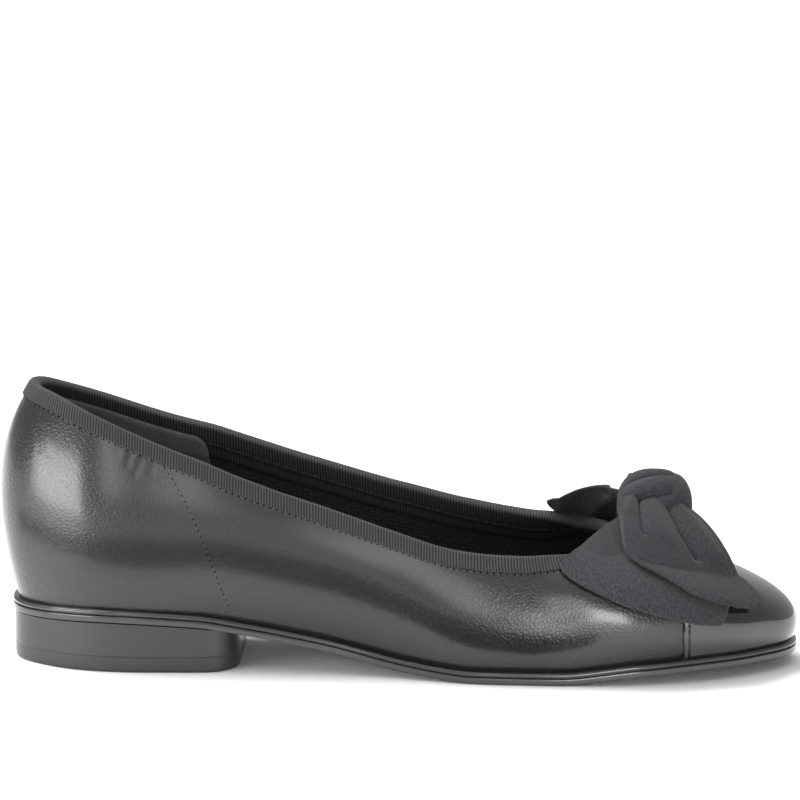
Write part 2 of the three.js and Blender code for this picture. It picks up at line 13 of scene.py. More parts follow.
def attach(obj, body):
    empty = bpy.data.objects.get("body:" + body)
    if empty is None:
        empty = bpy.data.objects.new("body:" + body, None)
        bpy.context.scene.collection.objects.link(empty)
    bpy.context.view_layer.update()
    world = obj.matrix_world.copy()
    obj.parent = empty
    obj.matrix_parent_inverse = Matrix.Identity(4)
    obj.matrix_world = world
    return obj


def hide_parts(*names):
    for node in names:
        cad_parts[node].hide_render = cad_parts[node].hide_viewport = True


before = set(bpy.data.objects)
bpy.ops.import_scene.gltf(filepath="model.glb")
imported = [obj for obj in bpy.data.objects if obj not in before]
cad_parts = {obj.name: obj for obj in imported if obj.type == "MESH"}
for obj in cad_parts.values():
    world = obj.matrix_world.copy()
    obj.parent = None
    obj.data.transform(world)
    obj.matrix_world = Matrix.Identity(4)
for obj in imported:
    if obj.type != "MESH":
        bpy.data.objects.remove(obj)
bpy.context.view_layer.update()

# Camera: it looks at the shoe's outer side from a little behind square and over the floor, from far
# enough away that the shoe shows almost without perspective.
CAMERA_ABOVE = math.radians(13.5)
CAMERA_ROUND = math.radians(2.5)
CAMERA_ROLL = math.radians(0.15)
CAMERA_DISTANCE = 1.86
CAMERA_LENS = 262.6
AIM_LEFT = 0.00096
AIM_OVER = 0.0474

shoe_middle = Vector((0.0880, 0, 0.035))
away = Vector((
    math.cos(CAMERA_ABOVE) * math.sin(CAMERA_ROUND),
    -math.cos(CAMERA_ABOVE) * math.cos(CAMERA_ROUND),
    math.sin(CAMERA_ABOVE),
))
square_right = Vector((math.cos(CAMERA_ROUND), math.sin(CAMERA_ROUND), 0))
square_up = away.cross(square_right)
standpoint = shoe_middle + away * CAMERA_DISTANCE
back = (standpoint - (shoe_middle - square_right * AIM_LEFT + square_up * AIM_OVER)).normalized()
level = square_up.cross(back).normalized()
upright = back.cross(level)
right = level * math.cos(CAMERA_ROLL) + upright * math.sin(CAMERA_ROLL)
up = upright * math.cos(CAMERA_ROLL) - level * math.sin(CAMERA_ROLL)

camera = bpy.data.objects.new("camera", bpy.data.cameras.new("camera"))
camera.data.lens = CAMERA_LENS
camera.data.clip_start = 0.1
camera.data.clip_end = 20
camera.matrix_world = Matrix((
    (right.x, up.x, back.x, standpoint.x),
    (right.y, up.y, back.y, standpoint.y),
    (right.z, up.z, back.z, standpoint.z),
    (0, 0, 0, 1),
))
bpy.context.collection.objects.link(camera)
bpy.context.scene.camera = camera

# Studio: a white floor, a room that is dim low down and bright overhead, and softboxes that make the
# highlights of the leather. The camera itself sees blank white behind the shoe.
FLOOR_SIZE = 6
FLOOR_COLOR = (0.86, 0.86, 0.86, 1)
SKY_STRENGTH = 1.0


class Value:
    """Output of a node. Arithmetic on it adds Math nodes to the same tree."""

    def __init__(self, nodes, socket):
        self.nodes = nodes
        self.socket = socket

    def math(self, operation, *operands):
        return self.nodes.node("ShaderNodeMath", {"operation": operation}, dict(enumerate(operands)))

    def __add__(self, other):
        return self.math("ADD", self, other)

    def __sub__(self, other):
        return self.math("SUBTRACT", self, other)

    def __mul__(self, other):
        return self.math("MULTIPLY", self, other)


class Nodes:
    """Node tree of a material or of the world."""

    def __init__(self, owner):
        owner.use_nodes = True
        self.tree = owner.node_tree

    def feed(self, socket, value):
        """Sets a socket to a value, or links it where the value is a node's output."""
        if isinstance(value, Value):
            self.tree.links.new(value.socket, socket)
        else:
            socket.default_value = value

    def node(self, kind, settings=(), sockets=(), output=0):
        """Adds a node with its settings first, then the values or links of its sockets."""
        made = self.tree.nodes.new(kind)
        for name, value in dict(settings).items():
            if name == "stops":
                ramp = made.color_ramp
                while len(ramp.elements) < len(value):
                    ramp.elements.new(1)
                for stop, (place, color) in zip(ramp.elements, value):
                    stop.position = place
                    stop.color = color
            else:
                setattr(made, name, value)
        for name, value in dict(sockets).items():
            self.feed(made.inputs[name], value)
        return Value(self, made.outputs[output])

    def mix(self, share, first, second):
        """Colour between two colours: the first where the share is 0, the second where it is 1."""
        return self.node("ShaderNodeMix", {"data_type": "RGBA"}, {0: share, 6: first, 7: second}, 2)

    def stretched(self, source, scale=(1, 1, 1)):
        """Coordinates of the object or of its UV map, multiplied by a scale for each direction."""
        place = self.node("ShaderNodeTexCoord", output=source)
        return self.node("ShaderNodeMapping", {}, {"Vector": place, "Scale": scale})

    def noise(self, place, scale, detail, roughness=0.5):
        """Soft noise from 0 to 1 with so many waves to the metre."""
        sockets = {"Vector": place, "Scale": scale, "Detail": detail, "Roughness": roughness}
        return self.node("ShaderNodeTexNoise", {}, sockets)


def grey(value):
    return (value, value, value, 1)


world = bpy.data.worlds.new("studio")
bpy.context.scene.world = world
sky = Nodes(world)
sky.tree.nodes.clear()
direction = sky.node("ShaderNodeTexCoord", output="Generated")
height = sky.node("ShaderNodeSeparateXYZ", {}, {"Vector": direction}, "Z")
towards_back = sky.node("ShaderNodeVectorMath", {"operation": "DOT_PRODUCT"}, {
    0: direction, 1: (0.62, 0.78, 0.0)}, 1)
behind = sky.node("ShaderNodeMapRange", {"interpolation_type": "SMOOTHSTEP"}, {
    "Value": towards_back, "From Min": 0.2, "From Max": 0.9})
towards_toe = sky.node("ShaderNodeVectorMath", {"operation": "DOT_PRODUCT"}, {
    0: direction, 1: (0.85, -0.53, 0.0)}, 1)
towards_front = sky.node("ShaderNodeVectorMath", {"operation": "DOT_PRODUCT"}, {
    0: direction, 1: (-0.3, -0.95, 0.3)}, 1)
room = sky.node("ShaderNodeValToRGB", {"stops": [
    (0.00, grey(0.50)),
    (0.10, grey(0.50)),
    (0.20, grey(0.42)),
    (0.35, grey(0.46)),
    (0.60, grey(0.80)),
    (1.00, grey(1.50)),
]}, {"Fac": height})
shade = sky.node("ShaderNodeMapRange", {"interpolation_type": "SMOOTHSTEP"}, {
    "Value": towards_toe, "From Min": 0.15, "From Max": 0.75, "To Min": 0, "To Max": 0.6})
front = sky.node("ShaderNodeMapRange", {"interpolation_type": "SMOOTHSTEP"}, {
    "Value": towards_front, "From Min": -0.35, "From Max": 0.25})
backdrop = sky.mix(behind, sky.mix(shade, sky.mix(front, grey(0.25), room), grey(0.20)), grey(0.55))
glow = sky.node("ShaderNodeBackground", {}, {"Color": backdrop, "Strength": SKY_STRENGTH})
blank = sky.node("ShaderNodeBackground", {}, {"Color": grey(1), "Strength": 1.1})
seen = sky.node("ShaderNodeLightPath", output="Is Camera Ray")
both_skies = sky.node("ShaderNodeMixShader", {}, {0: seen, 1: glow, 2: blank})
sky.feed(sky.tree.nodes.new("ShaderNodeOutputWorld").inputs["Surface"], both_skies)

bpy.context.scene.view_settings.view_transform = "Standard"


def softbox(name, place, target, width, length, power):
    """Rectangular light of so many watts that faces its target and doesn't show itself."""
    lamp = bpy.data.lights.new(name, "AREA")
    lamp.shape = "RECTANGLE"
    lamp.size = width
    lamp.size_y = length
    lamp.energy = power
    box = bpy.data.objects.new(name, lamp)
    box.location = place
    box.rotation_euler = (Vector(place) - Vector(target)).to_track_quat("Z", "Y").to_euler()
    box.visible_camera = False
    bpy.context.collection.objects.link(box)


softbox("softbox_top", (-0.42, 0.30, 1.35), (0.09, 0, 0.03), 1.1, 0.8, 34)
softbox("softbox_heel", (-0.205, -0.195, 0.068), (-0.02, -0.02, 0.05), 0.19, 0.10, 0.52)
softbox("softbox_side", (-0.38, -2.85, 0.72), (0.10, 0, 0.03), 0.42, 1.15, 6.5)
softbox("softbox_toe", (0.172, -0.20, 0.032), (0.140, -0.03, 0.02), 0.085, 0.058, 0.165)


class Finish(Nodes):
    """Material for one kind of surface, with the values that are the same all over it."""

    def __init__(self, name, values):
        self.material = bpy.data.materials.new(name)
        super().__init__(self.material)
        self.shader = self.tree.nodes["Principled BSDF"]
        for socket, value in values.items():
            self.set(socket, value)

    def set(self, socket, value):
        self.feed(self.shader.inputs[socket], value)

    def bump(self, height, depth, under=None):
        """Feeds the normal with a relief of so many metres, over another relief if there is one."""
        sockets = {"Height": height, "Distance": depth, "Strength": 1}
        if under is not None:
            sockets["Normal"] = under
        relief = self.node("ShaderNodeBump", {}, sockets)
        self.set("Normal", relief)
        return relief


floor_mesh = bpy.data.meshes.new("floor")
half_floor = FLOOR_SIZE / 2
floor_mesh.from_pydata(
    [(-half_floor, -half_floor, 0), (half_floor, -half_floor, 0), (half_floor, half_floor, 0),
     (-half_floor, half_floor, 0)],
    [], [(0, 1, 2, 3)])
floor = bpy.data.objects.new("floor", floor_mesh)
bpy.context.collection.objects.link(floor)
floor_paint = Finish("floor_paint", {"Base Color": FLOOR_COLOR, "Roughness": 0.9})
floor_mesh.materials.append(floor_paint.material)

# A black card lies on the floor in front of the shoe and round its heel. Only gloss sees it: it is the
# dark band low on the side of the shoe.
CARD_NEAR = [(-0.165, -0.010), (-0.133, -0.054), (-0.105, -0.078), (-0.070, -0.098), (-0.020, -0.108),
             (0.016, -0.106), (0.036, -0.092), (0.052, -0.082), (0.066, -0.070), (0.085, -0.060),
             (0.105, -0.052), (0.130, -0.047), (0.150, -0.058)]
CARD_FAR = [(-0.235, -0.020), (-0.200, -0.080), (-0.165, -0.125), (-0.120, -0.165), (-0.070, -0.220),
            (0.000, -0.260), (0.030, -0.270), (0.052, -0.260), (0.066, -0.250), (0.085, -0.220),
            (0.105, -0.150), (0.130, -0.095), (0.152, -0.080)]
CARD_LIFT = 0.0006
card_mesh = bpy.data.meshes.new("black_card")
card_mesh.from_pydata([(x, y, CARD_LIFT) for x, y in CARD_NEAR + CARD_FAR], [],
                      [(i + len(CARD_NEAR), i + len(CARD_NEAR) + 1, i + 1, i)
                       for i in range(len(CARD_NEAR) - 1)])
card = bpy.data.objects.new("black_card", card_mesh)
bpy.context.collection.objects.link(card)
card_mesh.materials.append(Finish("card_paint", {"Base Color": grey(0.01), "Roughness": 1}).material)
for ray in ("camera", "diffuse", "transmission", "volume_scatter", "shadow"):
    setattr(card, "visible_" + ray, False)

# Outsole: one sheet of rubber cut to the last, with a flat band, a groove and a polished bead round
# its edge. It is cemented under the lasted upper and bends down to the floor ahead of the heel.
SOLE_LENGTH = 0.250
BALL_HALF = 0.037
COLLAR_HEIGHT = 0.0677
HEEL_HEIGHT = 0.0154
TOE_SPRING = 0.004
SOLE_THICKNESS = 0.004
SOLE_RAND = 0.0017
HEEL_BREAST = 0.074
GAP = 0.0003
SOLE_STATIONS = 420
UNDERSIDE = [
    (0.00, 1.00, 0.00),
    (0.12, 1.05, 0.00),
    (0.24, 0.96, 0.00),
    (0.30, 0.81, 0.00),
    (0.40, 0.51, 0.00),
    (0.52, 0.11, 0.00),
    (0.60, 0.00, 0.00),
    (0.70, 0.00, 0.00),
    (0.80, 0.00, 0.65),
    (0.92, 0.00, 1.00),
    (1.00, 0.00, 1.00),
]
# Sections of the last, from the heel back to the toe tip. Foot at, out, in; top at, out, in; high out,
# in; bulge out, in; rise, reach, fall. At is a share of the sole's length, out, in, bulge and reach
# are shares of half the ball, and high, rise and fall are shares of the collar's height.
LAST = np.array([
    [0.009, 0.000, 0.000, 0.029, 0.000, 0.000, 1.010, 1.010, 0.146, 0.146, 0.29, 0.43, 0.32],
    [0.017, 0.257, 0.257, 0.038, 0.220, 0.220, 1.007, 0.997, 0.142, 0.142, 0.29, 0.40, 0.32],
    [0.044, 0.454, 0.454, 0.058, 0.385, 0.380, 0.989, 0.960, 0.132, 0.132, 0.29, 0.305, 0.32],
    [0.100, 0.649, 0.649, 0.104, 0.573, 0.560, 0.915, 0.884, 0.149, 0.149, 0.29, 0.19, 0.32],
    [0.180, 0.703, 0.697, 0.184, 0.649, 0.655, 0.794, 0.785, 0.122, 0.130, 0.26, 0.135, 0.26],
    [0.280, 0.670, 0.635, 0.276, 0.703, 0.703, 0.699, 0.722, 0.175, 0.160, 0.233, 0.10, 0.22],
    [0.400, 0.673, 0.527, 0.384, 0.730, 0.730, 0.640, 0.675, 0.190, 0.270, 0.20, 0.105, 0.20],
    [0.500, 0.765, 0.554, 0.480, 0.784, 0.757, 0.606, 0.650, 0.189, 0.300, 0.19, 0.108, 0.19],
    [0.580, 0.900, 0.703, 0.556, 0.838, 0.784, 0.556, 0.609, 0.180, 0.270, 0.175, 0.12, 0.175],
    [0.660, 0.940, 0.859, 0.624, 0.857, 0.805, 0.527, 0.558, 0.190, 0.257, 0.175, 0.135, 0.167],
    [0.740, 0.943, 0.951, 0.680, 0.819, 0.784, 0.513, 0.523, 0.210, 0.230, 0.182, 0.19, 0.145],
    [0.800, 0.914, 0.951, 0.716, 0.735, 0.716, 0.482, 0.486, 0.216, 0.216, 0.20, 0.38, 0.116],
    [0.860, 0.805, 0.886, 0.740, 0.595, 0.581, 0.474, 0.474, 0.216, 0.216, 0.225, 0.55, 0.102],
    [0.918, 0.632, 0.711, 0.756, 0.420, 0.420, 0.472, 0.472, 0.216, 0.216, 0.235, 0.73, 0.105],
    [0.959, 0.416, 0.468, 0.763, 0.270, 0.270, 0.473, 0.473, 0.222, 0.222, 0.237, 0.87, 0.12],
    [0.984, 0.245, 0.275, 0.767, 0.135, 0.135, 0.474, 0.474, 0.222, 0.222, 0.237, 0.94, 0.132],
    [0.996, 0.000, 0.000, 0.768, 0.000, 0.000, 0.474, 0.474, 0.225, 0.225, 0.235, 0.973, 0.138],
])
RING_STEP = 1e-4


def steady_curve(table):
    """Smooth curves through the rows of a table, whose first column is the place. Inner slopes are the
    harmonic means of the neighbouring chords' slopes, or level at a peak, so nothing overshoots."""
    table = np.array(table, float)
    places, values = table[:, 0], table[:, 1:]
    widths = np.diff(places)
    chords = np.diff(values, axis=0) / widths[:, None]
    before, after = chords[:-1], chords[1:]
    agree = before * after > 0
    inner = np.where(agree, 2 * before * after / np.where(agree, before + after, 1), 0)
    level_end = np.zeros((1, values.shape[1]))
    slopes = np.concatenate([level_end, inner, level_end])

    def at(place):
        place = np.clip(place, places[0], places[-1])
        i = np.clip(np.searchsorted(places, place) - 1, 0, len(widths) - 1)
        s = ((place - places[i]) / widths[i])[..., None]
        bend = widths[i][..., None] * s * (1 - s) * (slopes[i] * (1 - s) - slopes[i + 1] * s)
        return values[i] + (values[i + 1] - values[i]) * s * s * (3 - 2 * s) + bend

    return at


def ring_spline(knots, values):
    """Closed cubic splines on a ring of length 1: the bends at the knots solve the cyclic three-term
    system, and each span blends its end values and end bends."""
    count = len(knots)
    here = np.arange(count)
    before, after = np.roll(here, 1), np.roll(here, -1)
    widths = np.diff(np.append(knots, 1 + knots[0]))
    system = np.zeros((count, count))
    system[here, before] += widths[before]
    system[here, here] += 2 * (widths[before] + widths)
    system[here, after] += widths
    chords = (values[after] - values) / widths[:, None]
    bends = np.linalg.solve(system, 6 * (chords - chords[before]))

    def at(ring):
        ring = np.asarray(ring) % 1
        i = np.searchsorted(knots, ring, side="right") - 1
        j = after[i]
        b = ((ring - knots[i]) / widths[i])[..., None]
        a = 1 - b
        curved = (a ** 3 - a) * bends[i] + (b ** 3 - b) * bends[j]
        return a * values[i] + b * values[j] + curved * widths[i][..., None] ** 2 / 6

    return at


underside_shares = steady_curve(UNDERSIDE)


def underside(x):
    """Height of the sole's underside: the heel's share of its height plus the toe's of its spring."""
    return underside_shares(x / SOLE_LENGTH) @ np.array([HEEL_HEIGHT, TOE_SPRING])


# The ring runs from 0 at the heel back along the outer side to 0.5 at the toe tip and back along the
# inner side, spaced as the chords of the foot line are
sizes = np.array([SOLE_LENGTH, BALL_HALF, BALL_HALF] * 2 + [COLLAR_HEIGHT] * 2
                 + [BALL_HALF] * 2 + [COLLAR_HEIGHT, BALL_HALF, COLLAR_HEIGHT])
last = LAST * sizes
chord_lengths = np.hypot(np.diff(last[:, 0]), np.diff((last[:, 1] + last[:, 2]) / 2))
runs = np.concatenate([[0], np.cumsum(chord_lengths)])
outer_knots = 0.5 * runs / runs[-1]
foot_at, foot_out, foot_in, top_at, top_out, top_in, high_out, high_in, bulge_out, bulge_in = last[:, :10].T
outer_side = np.column_stack([foot_at, -foot_out, top_at, -top_out, high_out, bulge_out, last[:, 10:]])
inner_side = np.column_stack([foot_at, foot_in, top_at, top_in, high_in, bulge_in, last[:, 10:]])
around = ring_spline(
    np.concatenate([outer_knots, 1 - outer_knots[-2:0:-1]]),
    np.concatenate([outer_side, inner_side[-2:0:-1]]),
)
FOOT = slice(0, 2)
TOP = slice(2, 4)


def unit(vectors):
    return vectors / np.linalg.norm(vectors, axis=-1, keepdims=True)


def outward(ring, line):
    """Direction in plan that points out of the foot line or the top line: its tangent turned right."""
    ahead = (around(ring + RING_STEP) - around(ring - RING_STEP))[..., line]
    return unit(np.stack([ahead[..., 1], -ahead[..., 0]], axis=-1))


def foot_plan(ring, out):
    """Foot line moved outwards in plan, without a height."""
    return around(ring)[..., FOOT] + outward(ring, FOOT) * np.asarray(out)[..., None]


def raised(plan, height):
    """Points from places in plan and their heights."""
    return np.concatenate([plan, np.broadcast_to(height, plan.shape[:-1])[..., None]], axis=-1)


def put(name, grids, maps=None, sharp=40):
    """Makes an object from grids of points. Points in the same place are merged, which closes it, and
    its faces are turned out. A map gives each point of each grid its place on the flat cloth."""
    first = 0
    corners = []
    for grid in grids:
        rows, columns = grid.shape[:2]
        number = first + np.arange(rows * columns).reshape(rows, columns)
        quads = np.stack([number[:-1, :-1], number[1:, :-1], number[1:, 1:], number[:-1, 1:]], axis=-1)
        corners.append(quads.reshape(-1, 4))
        first += rows * columns
    corners = np.concatenate(corners)
    points = np.concatenate([grid.reshape(-1, 3) for grid in grids]) - [HEEL_BREAST / 2, 0, 0]
    mesh = bpy.data.meshes.new(name)
    mesh.vertices.add(len(points))
    mesh.vertices.foreach_set("co", points.ravel())
    mesh.loops.add(corners.size)
    mesh.loops.foreach_set("vertex_index", corners.ravel())
    mesh.polygons.add(len(corners))
    mesh.polygons.foreach_set("loop_start", np.arange(0, corners.size, 4))
    mesh.update(calc_edges=True)
    if maps is not None:
        flat = np.concatenate([place.reshape(-1, 2) for place in maps])
        layer = mesh.uv_layers.new(name="cloth")
        layer.data.foreach_set("uv", flat[corners.ravel()].ravel())
    work = bmesh.new()
    work.from_mesh(mesh)
    bmesh.ops.remove_doubles(work, verts=work.verts, dist=2e-6)
    bmesh.ops.recalc_face_normals(work, faces=work.faces)
    work.to_mesh(mesh)
    work.free()
    mesh.shade_smooth()
    mesh.set_sharp_from_angle(angle=math.radians(sharp))
    made = bpy.data.objects.new(name, mesh)
    bpy.context.collection.objects.link(made)
    return made


def dress(piece, finish, slot, *nodes):
    """Gives a piece its material, lets it ride, and hides the solids it stands for. The slot is not used.
    """
    piece.data.materials.append(finish.material)
    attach(piece, "root")
    if nodes:
        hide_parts(*nodes)


def closed_ring(count):
    """Ring places with the first one repeated at the end, so that a grid meets itself."""
    return np.linspace(0, 1, count + 1)


def lid(rim, steps):
    """Sheet over a closed rim that starts at the heel back: straight rungs from each place of the outer
    side to the one across from it."""
    half = (len(rim) - 1) // 2
    outer, inner = rim[:half + 1], rim[::-1][:half + 1]
    share = np.linspace(0, 1, steps)[:, None, None]
    return outer * (1 - share) + inner * share


def arc(centre, radius, start, end, count):
    """Points of a round corner in a section, between two angles in degrees."""
    angle = np.radians(np.linspace(start, end, count))
    return np.column_stack([centre[0] + radius * np.cos(angle), centre[1] + radius * np.sin(angle)])


sole_edge = np.concatenate([
    [[0.0009, 0.0]],
    arc((0.00125, 0.0005), 0.00045, -70, 0, 5),
    [[0.0017, 0.0010], [0.0017, 0.0016]],
    arc((0.0014, 0.0019), 0.0003, 10, 80, 4),
    arc((0.0012, 0.00245), 0.00022, 250, 150, 4),
    arc((0.00098, 0.0032), 0.00082, -55, 95, 15),
    [[0.0003, 0.0040], [-0.0012, 0.0040]],
])
ring = closed_ring(SOLE_STATIONS)
sole_plan = foot_plan(ring[None, :], sole_edge[:, :1] * np.ones_like(ring))
sole_wall = raised(sole_plan, underside(sole_plan[..., 0]) + sole_edge[:, 1:])
outsole = put("sole_body", [sole_wall, lid(sole_wall[0], 16), lid(sole_wall[-1], 16)], sharp=50)

STREAK_DEPTH = 0.00003


def streaked(name, color, coat, coat_roughness, scale, detail, spread, least):
    """Coated finish with faint level streaks: its roughness is the least plus a spread of the noise."""
    finish = Finish(name, {
        "Base Color": color, "Coat Weight": coat, "Coat Roughness": coat_roughness, "IOR": 1.5,
    })
    streaks = finish.noise(finish.stretched("Object", scale), 1, detail)
    finish.set("Roughness", streaks * spread + least)
    finish.bump(streaks, STREAK_DEPTH)
    return finish


rubber = streaked("sole_rubber", (0.016, 0.0145, 0.014, 1), 0.9, 0.12, (40, 40, 900), 3, 0.16, 0.22)
dress(outsole, rubber, "sole", "outsole")

# Heel block: a low block of plastic under a black cover, cut to the sole's back and straight at its
# breast, with round corners. It is nailed and glued under the sole.
HEEL_CORNER = 0.012
HEEL_SET_BACK = 0.0006
TOP_LIFT = 0.005
HEEL_BACK_STEPS = 70
HEEL_CORNER_STEPS = 12
HALVINGS = 40


def halved(falls_short, low, high):
    """Places between low and high up to which a test holds, found by halving."""
    for _ in range(HALVINGS):
        middle = (low + high) / 2
        short = falls_short(middle)
        low, high = np.where(short, middle, low), np.where(short, high, middle)
    return low


def outer_place_at(x):
    """Ring place where the outer side's foot line reaches a distance from the heel back."""
    return halved(lambda place: around(place)[..., 0] < x, np.zeros_like(x), np.full_like(x, 0.5))


def heel_outline(inset):
    """Closed outline of the heel: the sole's back on both sides, two round corners and the breast."""
    corner_x = HEEL_BREAST - HEEL_CORNER
    places = np.linspace(0, float(outer_place_at(np.array(corner_x))), HEEL_BACK_STEPS)
    corner = HEEL_CORNER - inset
    angle = np.linspace(0, math.pi / 2, HEEL_CORNER_STEPS)[1:]
    turn = np.column_stack([corner * np.sin(angle), corner * (1 - np.cos(angle))])
    sides = []
    for side, ring_places in ((1, places), (-1, 1 - places)):
        run = foot_plan(ring_places, SOLE_RAND - HEEL_SET_BACK - inset)
        sides.append(np.concatenate([run, run[-1] + turn * [1, side]]))
    breast = np.linspace(sides[0][-1], sides[1][-1], 10)[1:-1]
    return np.concatenate([sides[0], breast, sides[1][::-1]])


def heel_rings(edge):
    """Stack of heel outlines from (inset, height over the floor, share of the way to the sole)."""
    rings = []
    for inset, height_over_floor, share in edge:
        plan = heel_outline(inset)
        top = underside(plan[:, 0]) - 0.00012
        rings.append(raised(plan, height_over_floor * (1 - share) + (top - inset * 0.6) * share))
    return np.stack(rings)


def rim_lid(rim, steps):
    """Sheet that shrinks a rim to the middle of it."""
    share = np.linspace(0, 1, steps)[:, None, None]
    middle = rim.mean(axis=0)
    return rim * (1 - share) + middle * share


block_wall = heel_rings([(0.00004, TOP_LIFT, 0), (0, TOP_LIFT + 0.00005, 0), (0, TOP_LIFT + 0.0005, 0)]
                        + [(0, TOP_LIFT + 0.0005, s) for s in np.linspace(0.1, 0.98, 12)]
                        + [(0.0003, TOP_LIFT, 1)])
heel = put("heel_body", [block_wall, rim_lid(block_wall[0], 4), rim_lid(block_wall[-1], 4)], sharp=50)
heel_cover = streaked("heel_cover", (0.020, 0.0185, 0.018, 1), 0.35, 0.22, (25, 25, 1300), 4, 0.14, 0.30)
dress(heel, heel_cover, "heel", "heel_block")

# Top lift: the hard rubber tread nailed under the heel, a little browner than the cover, with its
# lower edge rounded off.
LIFT_ROUND = 0.0012

lift_wall = heel_rings([(LIFT_ROUND, 0, 0)]
                       + [(LIFT_ROUND * (1 - math.sin(a)), LIFT_ROUND * (1 - math.cos(a)), 0)
                          for a in np.linspace(0.15, math.pi / 2, 7)]
                       + [(0, TOP_LIFT - 0.0004, 0), (0, TOP_LIFT - 0.00005, 0),
                          (0.00004, TOP_LIFT - 0.00002, 0)])
top_lift = put("heel_lift", [lift_wall, rim_lid(lift_wall[0], 4), rim_lid(lift_wall[-1], 4)], sharp=50)
lift_rubber = streaked("lift_rubber", (0.021, 0.0185, 0.0175, 1), 0.3, 0.25, (30, 30, 900), 4, 0.15, 0.36)
dress(top_lift, lift_rubber, "top_lift", "heel_top_lift")

# Insole: a black woven sock on a thin board, cut to the inside of the upper and glued on the sole. It
# lies too deep in the shoe to show from the photo's side.
WALL = 0.0021
INSOLE_THICKNESS = 0.002

sock_plan = foot_plan(ring, -WALL - GAP)
sock_base = raised(sock_plan, underside(sock_plan[:, 0]) + SOLE_THICKNESS + GAP)
sock_top = sock_base + [0, 0, INSOLE_THICKNESS]
sock = put("insole_sock", [np.stack([sock_base, sock_top]), lid(sock_base, 20), lid(sock_top, 20)],
           sharp=50)
weave = Finish("sock_weave", {
    "Base Color": (0.010, 0.010, 0.011, 1), "Roughness": 0.9, "Sheen Weight": 0.1,
})
threads = weave.node("ShaderNodeTexWave", {"bands_direction": "Y"}, {
    "Vector": weave.stretched("Object"), "Scale": 260, "Distortion": 0.6})
weave.bump(threads, 0.0002)
dress(sock, weave, "sock", "insole")

# Upper: one skin of smooth black nappa, closed at the side, lasted over the board and cemented. The
# wall's section is a cubic curve from the collar down to the sole.
UPPER_STATIONS = 640
UPPER_ROWS = 110
GAUSS_PLACES, GAUSS_WEIGHTS = np.polynomial.legendre.leggauss(8)


def wall_corners(ring):
    """Control points of the wall's section: the collar's edge, a point under it, one over the foot,
    and the foot."""
    values = around(ring)
    high, swell, rise, reach, fall = np.moveaxis(values[..., 4:], -1, 0)
    foot_xy = values[..., FOOT]
    foot_z = underside(foot_xy[..., 0]) + SOLE_THICKNESS + GAP
    top_xy = values[..., TOP]
    over_foot = foot_xy + outward(ring, FOOT) * swell[..., None]
    under_top = top_xy + outward(ring, TOP) * reach[..., None]
    return (
        raised(top_xy, foot_z + high),
        raised(under_top, foot_z + high - fall),
        raised(over_foot, foot_z + rise),
        raised(foot_xy, foot_z),
    )


def wall(ring, t):
    """Point of the upper: the cubic through its section's four control points."""
    a, b, c, d = wall_corners(ring)
    t = np.asarray(t)[..., None]
    s = 1 - t
    return s ** 3 * a + 3 * s * s * t * b + 3 * s * t * t * c + t ** 3 * d


def wall_slope(ring, t):
    """Speed of that cubic down the section."""
    a, b, c, d = wall_corners(ring)
    t = np.asarray(t)[..., None]
    s = 1 - t
    return 3 * (s * s * (b - a) + 2 * s * t * (c - b) + t * t * (d - c))


def wall_normal(ring, t):
    """Direction out of the upper: across the section and the ring."""
    along = wall(ring + RING_STEP, t) - wall(ring - RING_STEP, t)
    return unit(np.cross(wall_slope(ring, t), along))


def skin(ring, t, out):
    """Point of the upper moved out of its surface."""
    return wall(ring, t) + wall_normal(ring, t) * np.asarray(out)[..., None]


def shell(first, second, open_sides=False):
    """Grids of a closed sheet: its two faces, the strips between their first and between their last
    rows, and those between their side edges where the faces don't go all the way round."""
    strips = [np.stack([first[i], second[i]]) for i in (0, -1)]
    if open_sides:
        strips += [np.stack([first[:, i], second[:, i]]) for i in (0, -1)]
    return [first, second] + strips


def keep_over_sole(faces, clearance):
    """Lifts the points of some grids that lie lower than a clearance over the sole."""
    for face in faces:
        face[..., 2] = np.maximum(face[..., 2], underside(face[..., 0]) + SOLE_THICKNESS + clearance)


def trough(distance, width):
    """Soft round profile, 1 on a line and fading over a width on both sides of it."""
    return np.exp(-(distance / width) ** 2)


def line_distance(across, along, line):
    """Distance from places on a sheet to a bent line of (across, along) points."""
    place = np.stack(np.broadcast_arrays(across, along), axis=-1)
    nearest = np.full(place.shape[:-1], np.inf)
    for start, end in zip(np.array(line[:-1], float), np.array(line[1:], float)):
        way = end - start
        share = np.clip(((place - start) @ way) / (way @ way), 0, 1)
        nearest = np.minimum(nearest, np.linalg.norm(place - start - share[..., None] * way, axis=-1))
    return nearest


def share_down(ring, down):
    """Section parameter at a distance down from the collar's edge: Newton steps on the length, which
    is summed at eight Gauss places."""
    ring, down = np.broadcast_arrays(ring, down)
    t = down / 0.08
    for _ in range(5):
        places = t[..., None] * (GAUSS_PLACES + 1) / 2
        speed = np.linalg.norm(wall_slope(ring[..., None], places), axis=-1)
        length = (speed * GAUSS_WEIGHTS).sum(axis=-1) * t / 2
        t = t - (length - down) / np.linalg.norm(wall_slope(ring, t), axis=-1)
    return np.clip(t, 0, 1)


def skin_below(ring, down, out):
    """Point of the upper a distance down from the collar's edge, or over it where that is negative."""
    ring, down, out = np.broadcast_arrays(ring, down, out)
    over = np.minimum(down, 0)[..., None]
    t = share_down(ring, np.maximum(down, 0))
    return skin(ring, t, out) + unit(wall_slope(ring, t)) * over


ring = closed_ring(UPPER_STATIONS)
rows = np.linspace(0, 1, UPPER_ROWS)[:, None]
outer_face = wall(ring[None, :], rows)
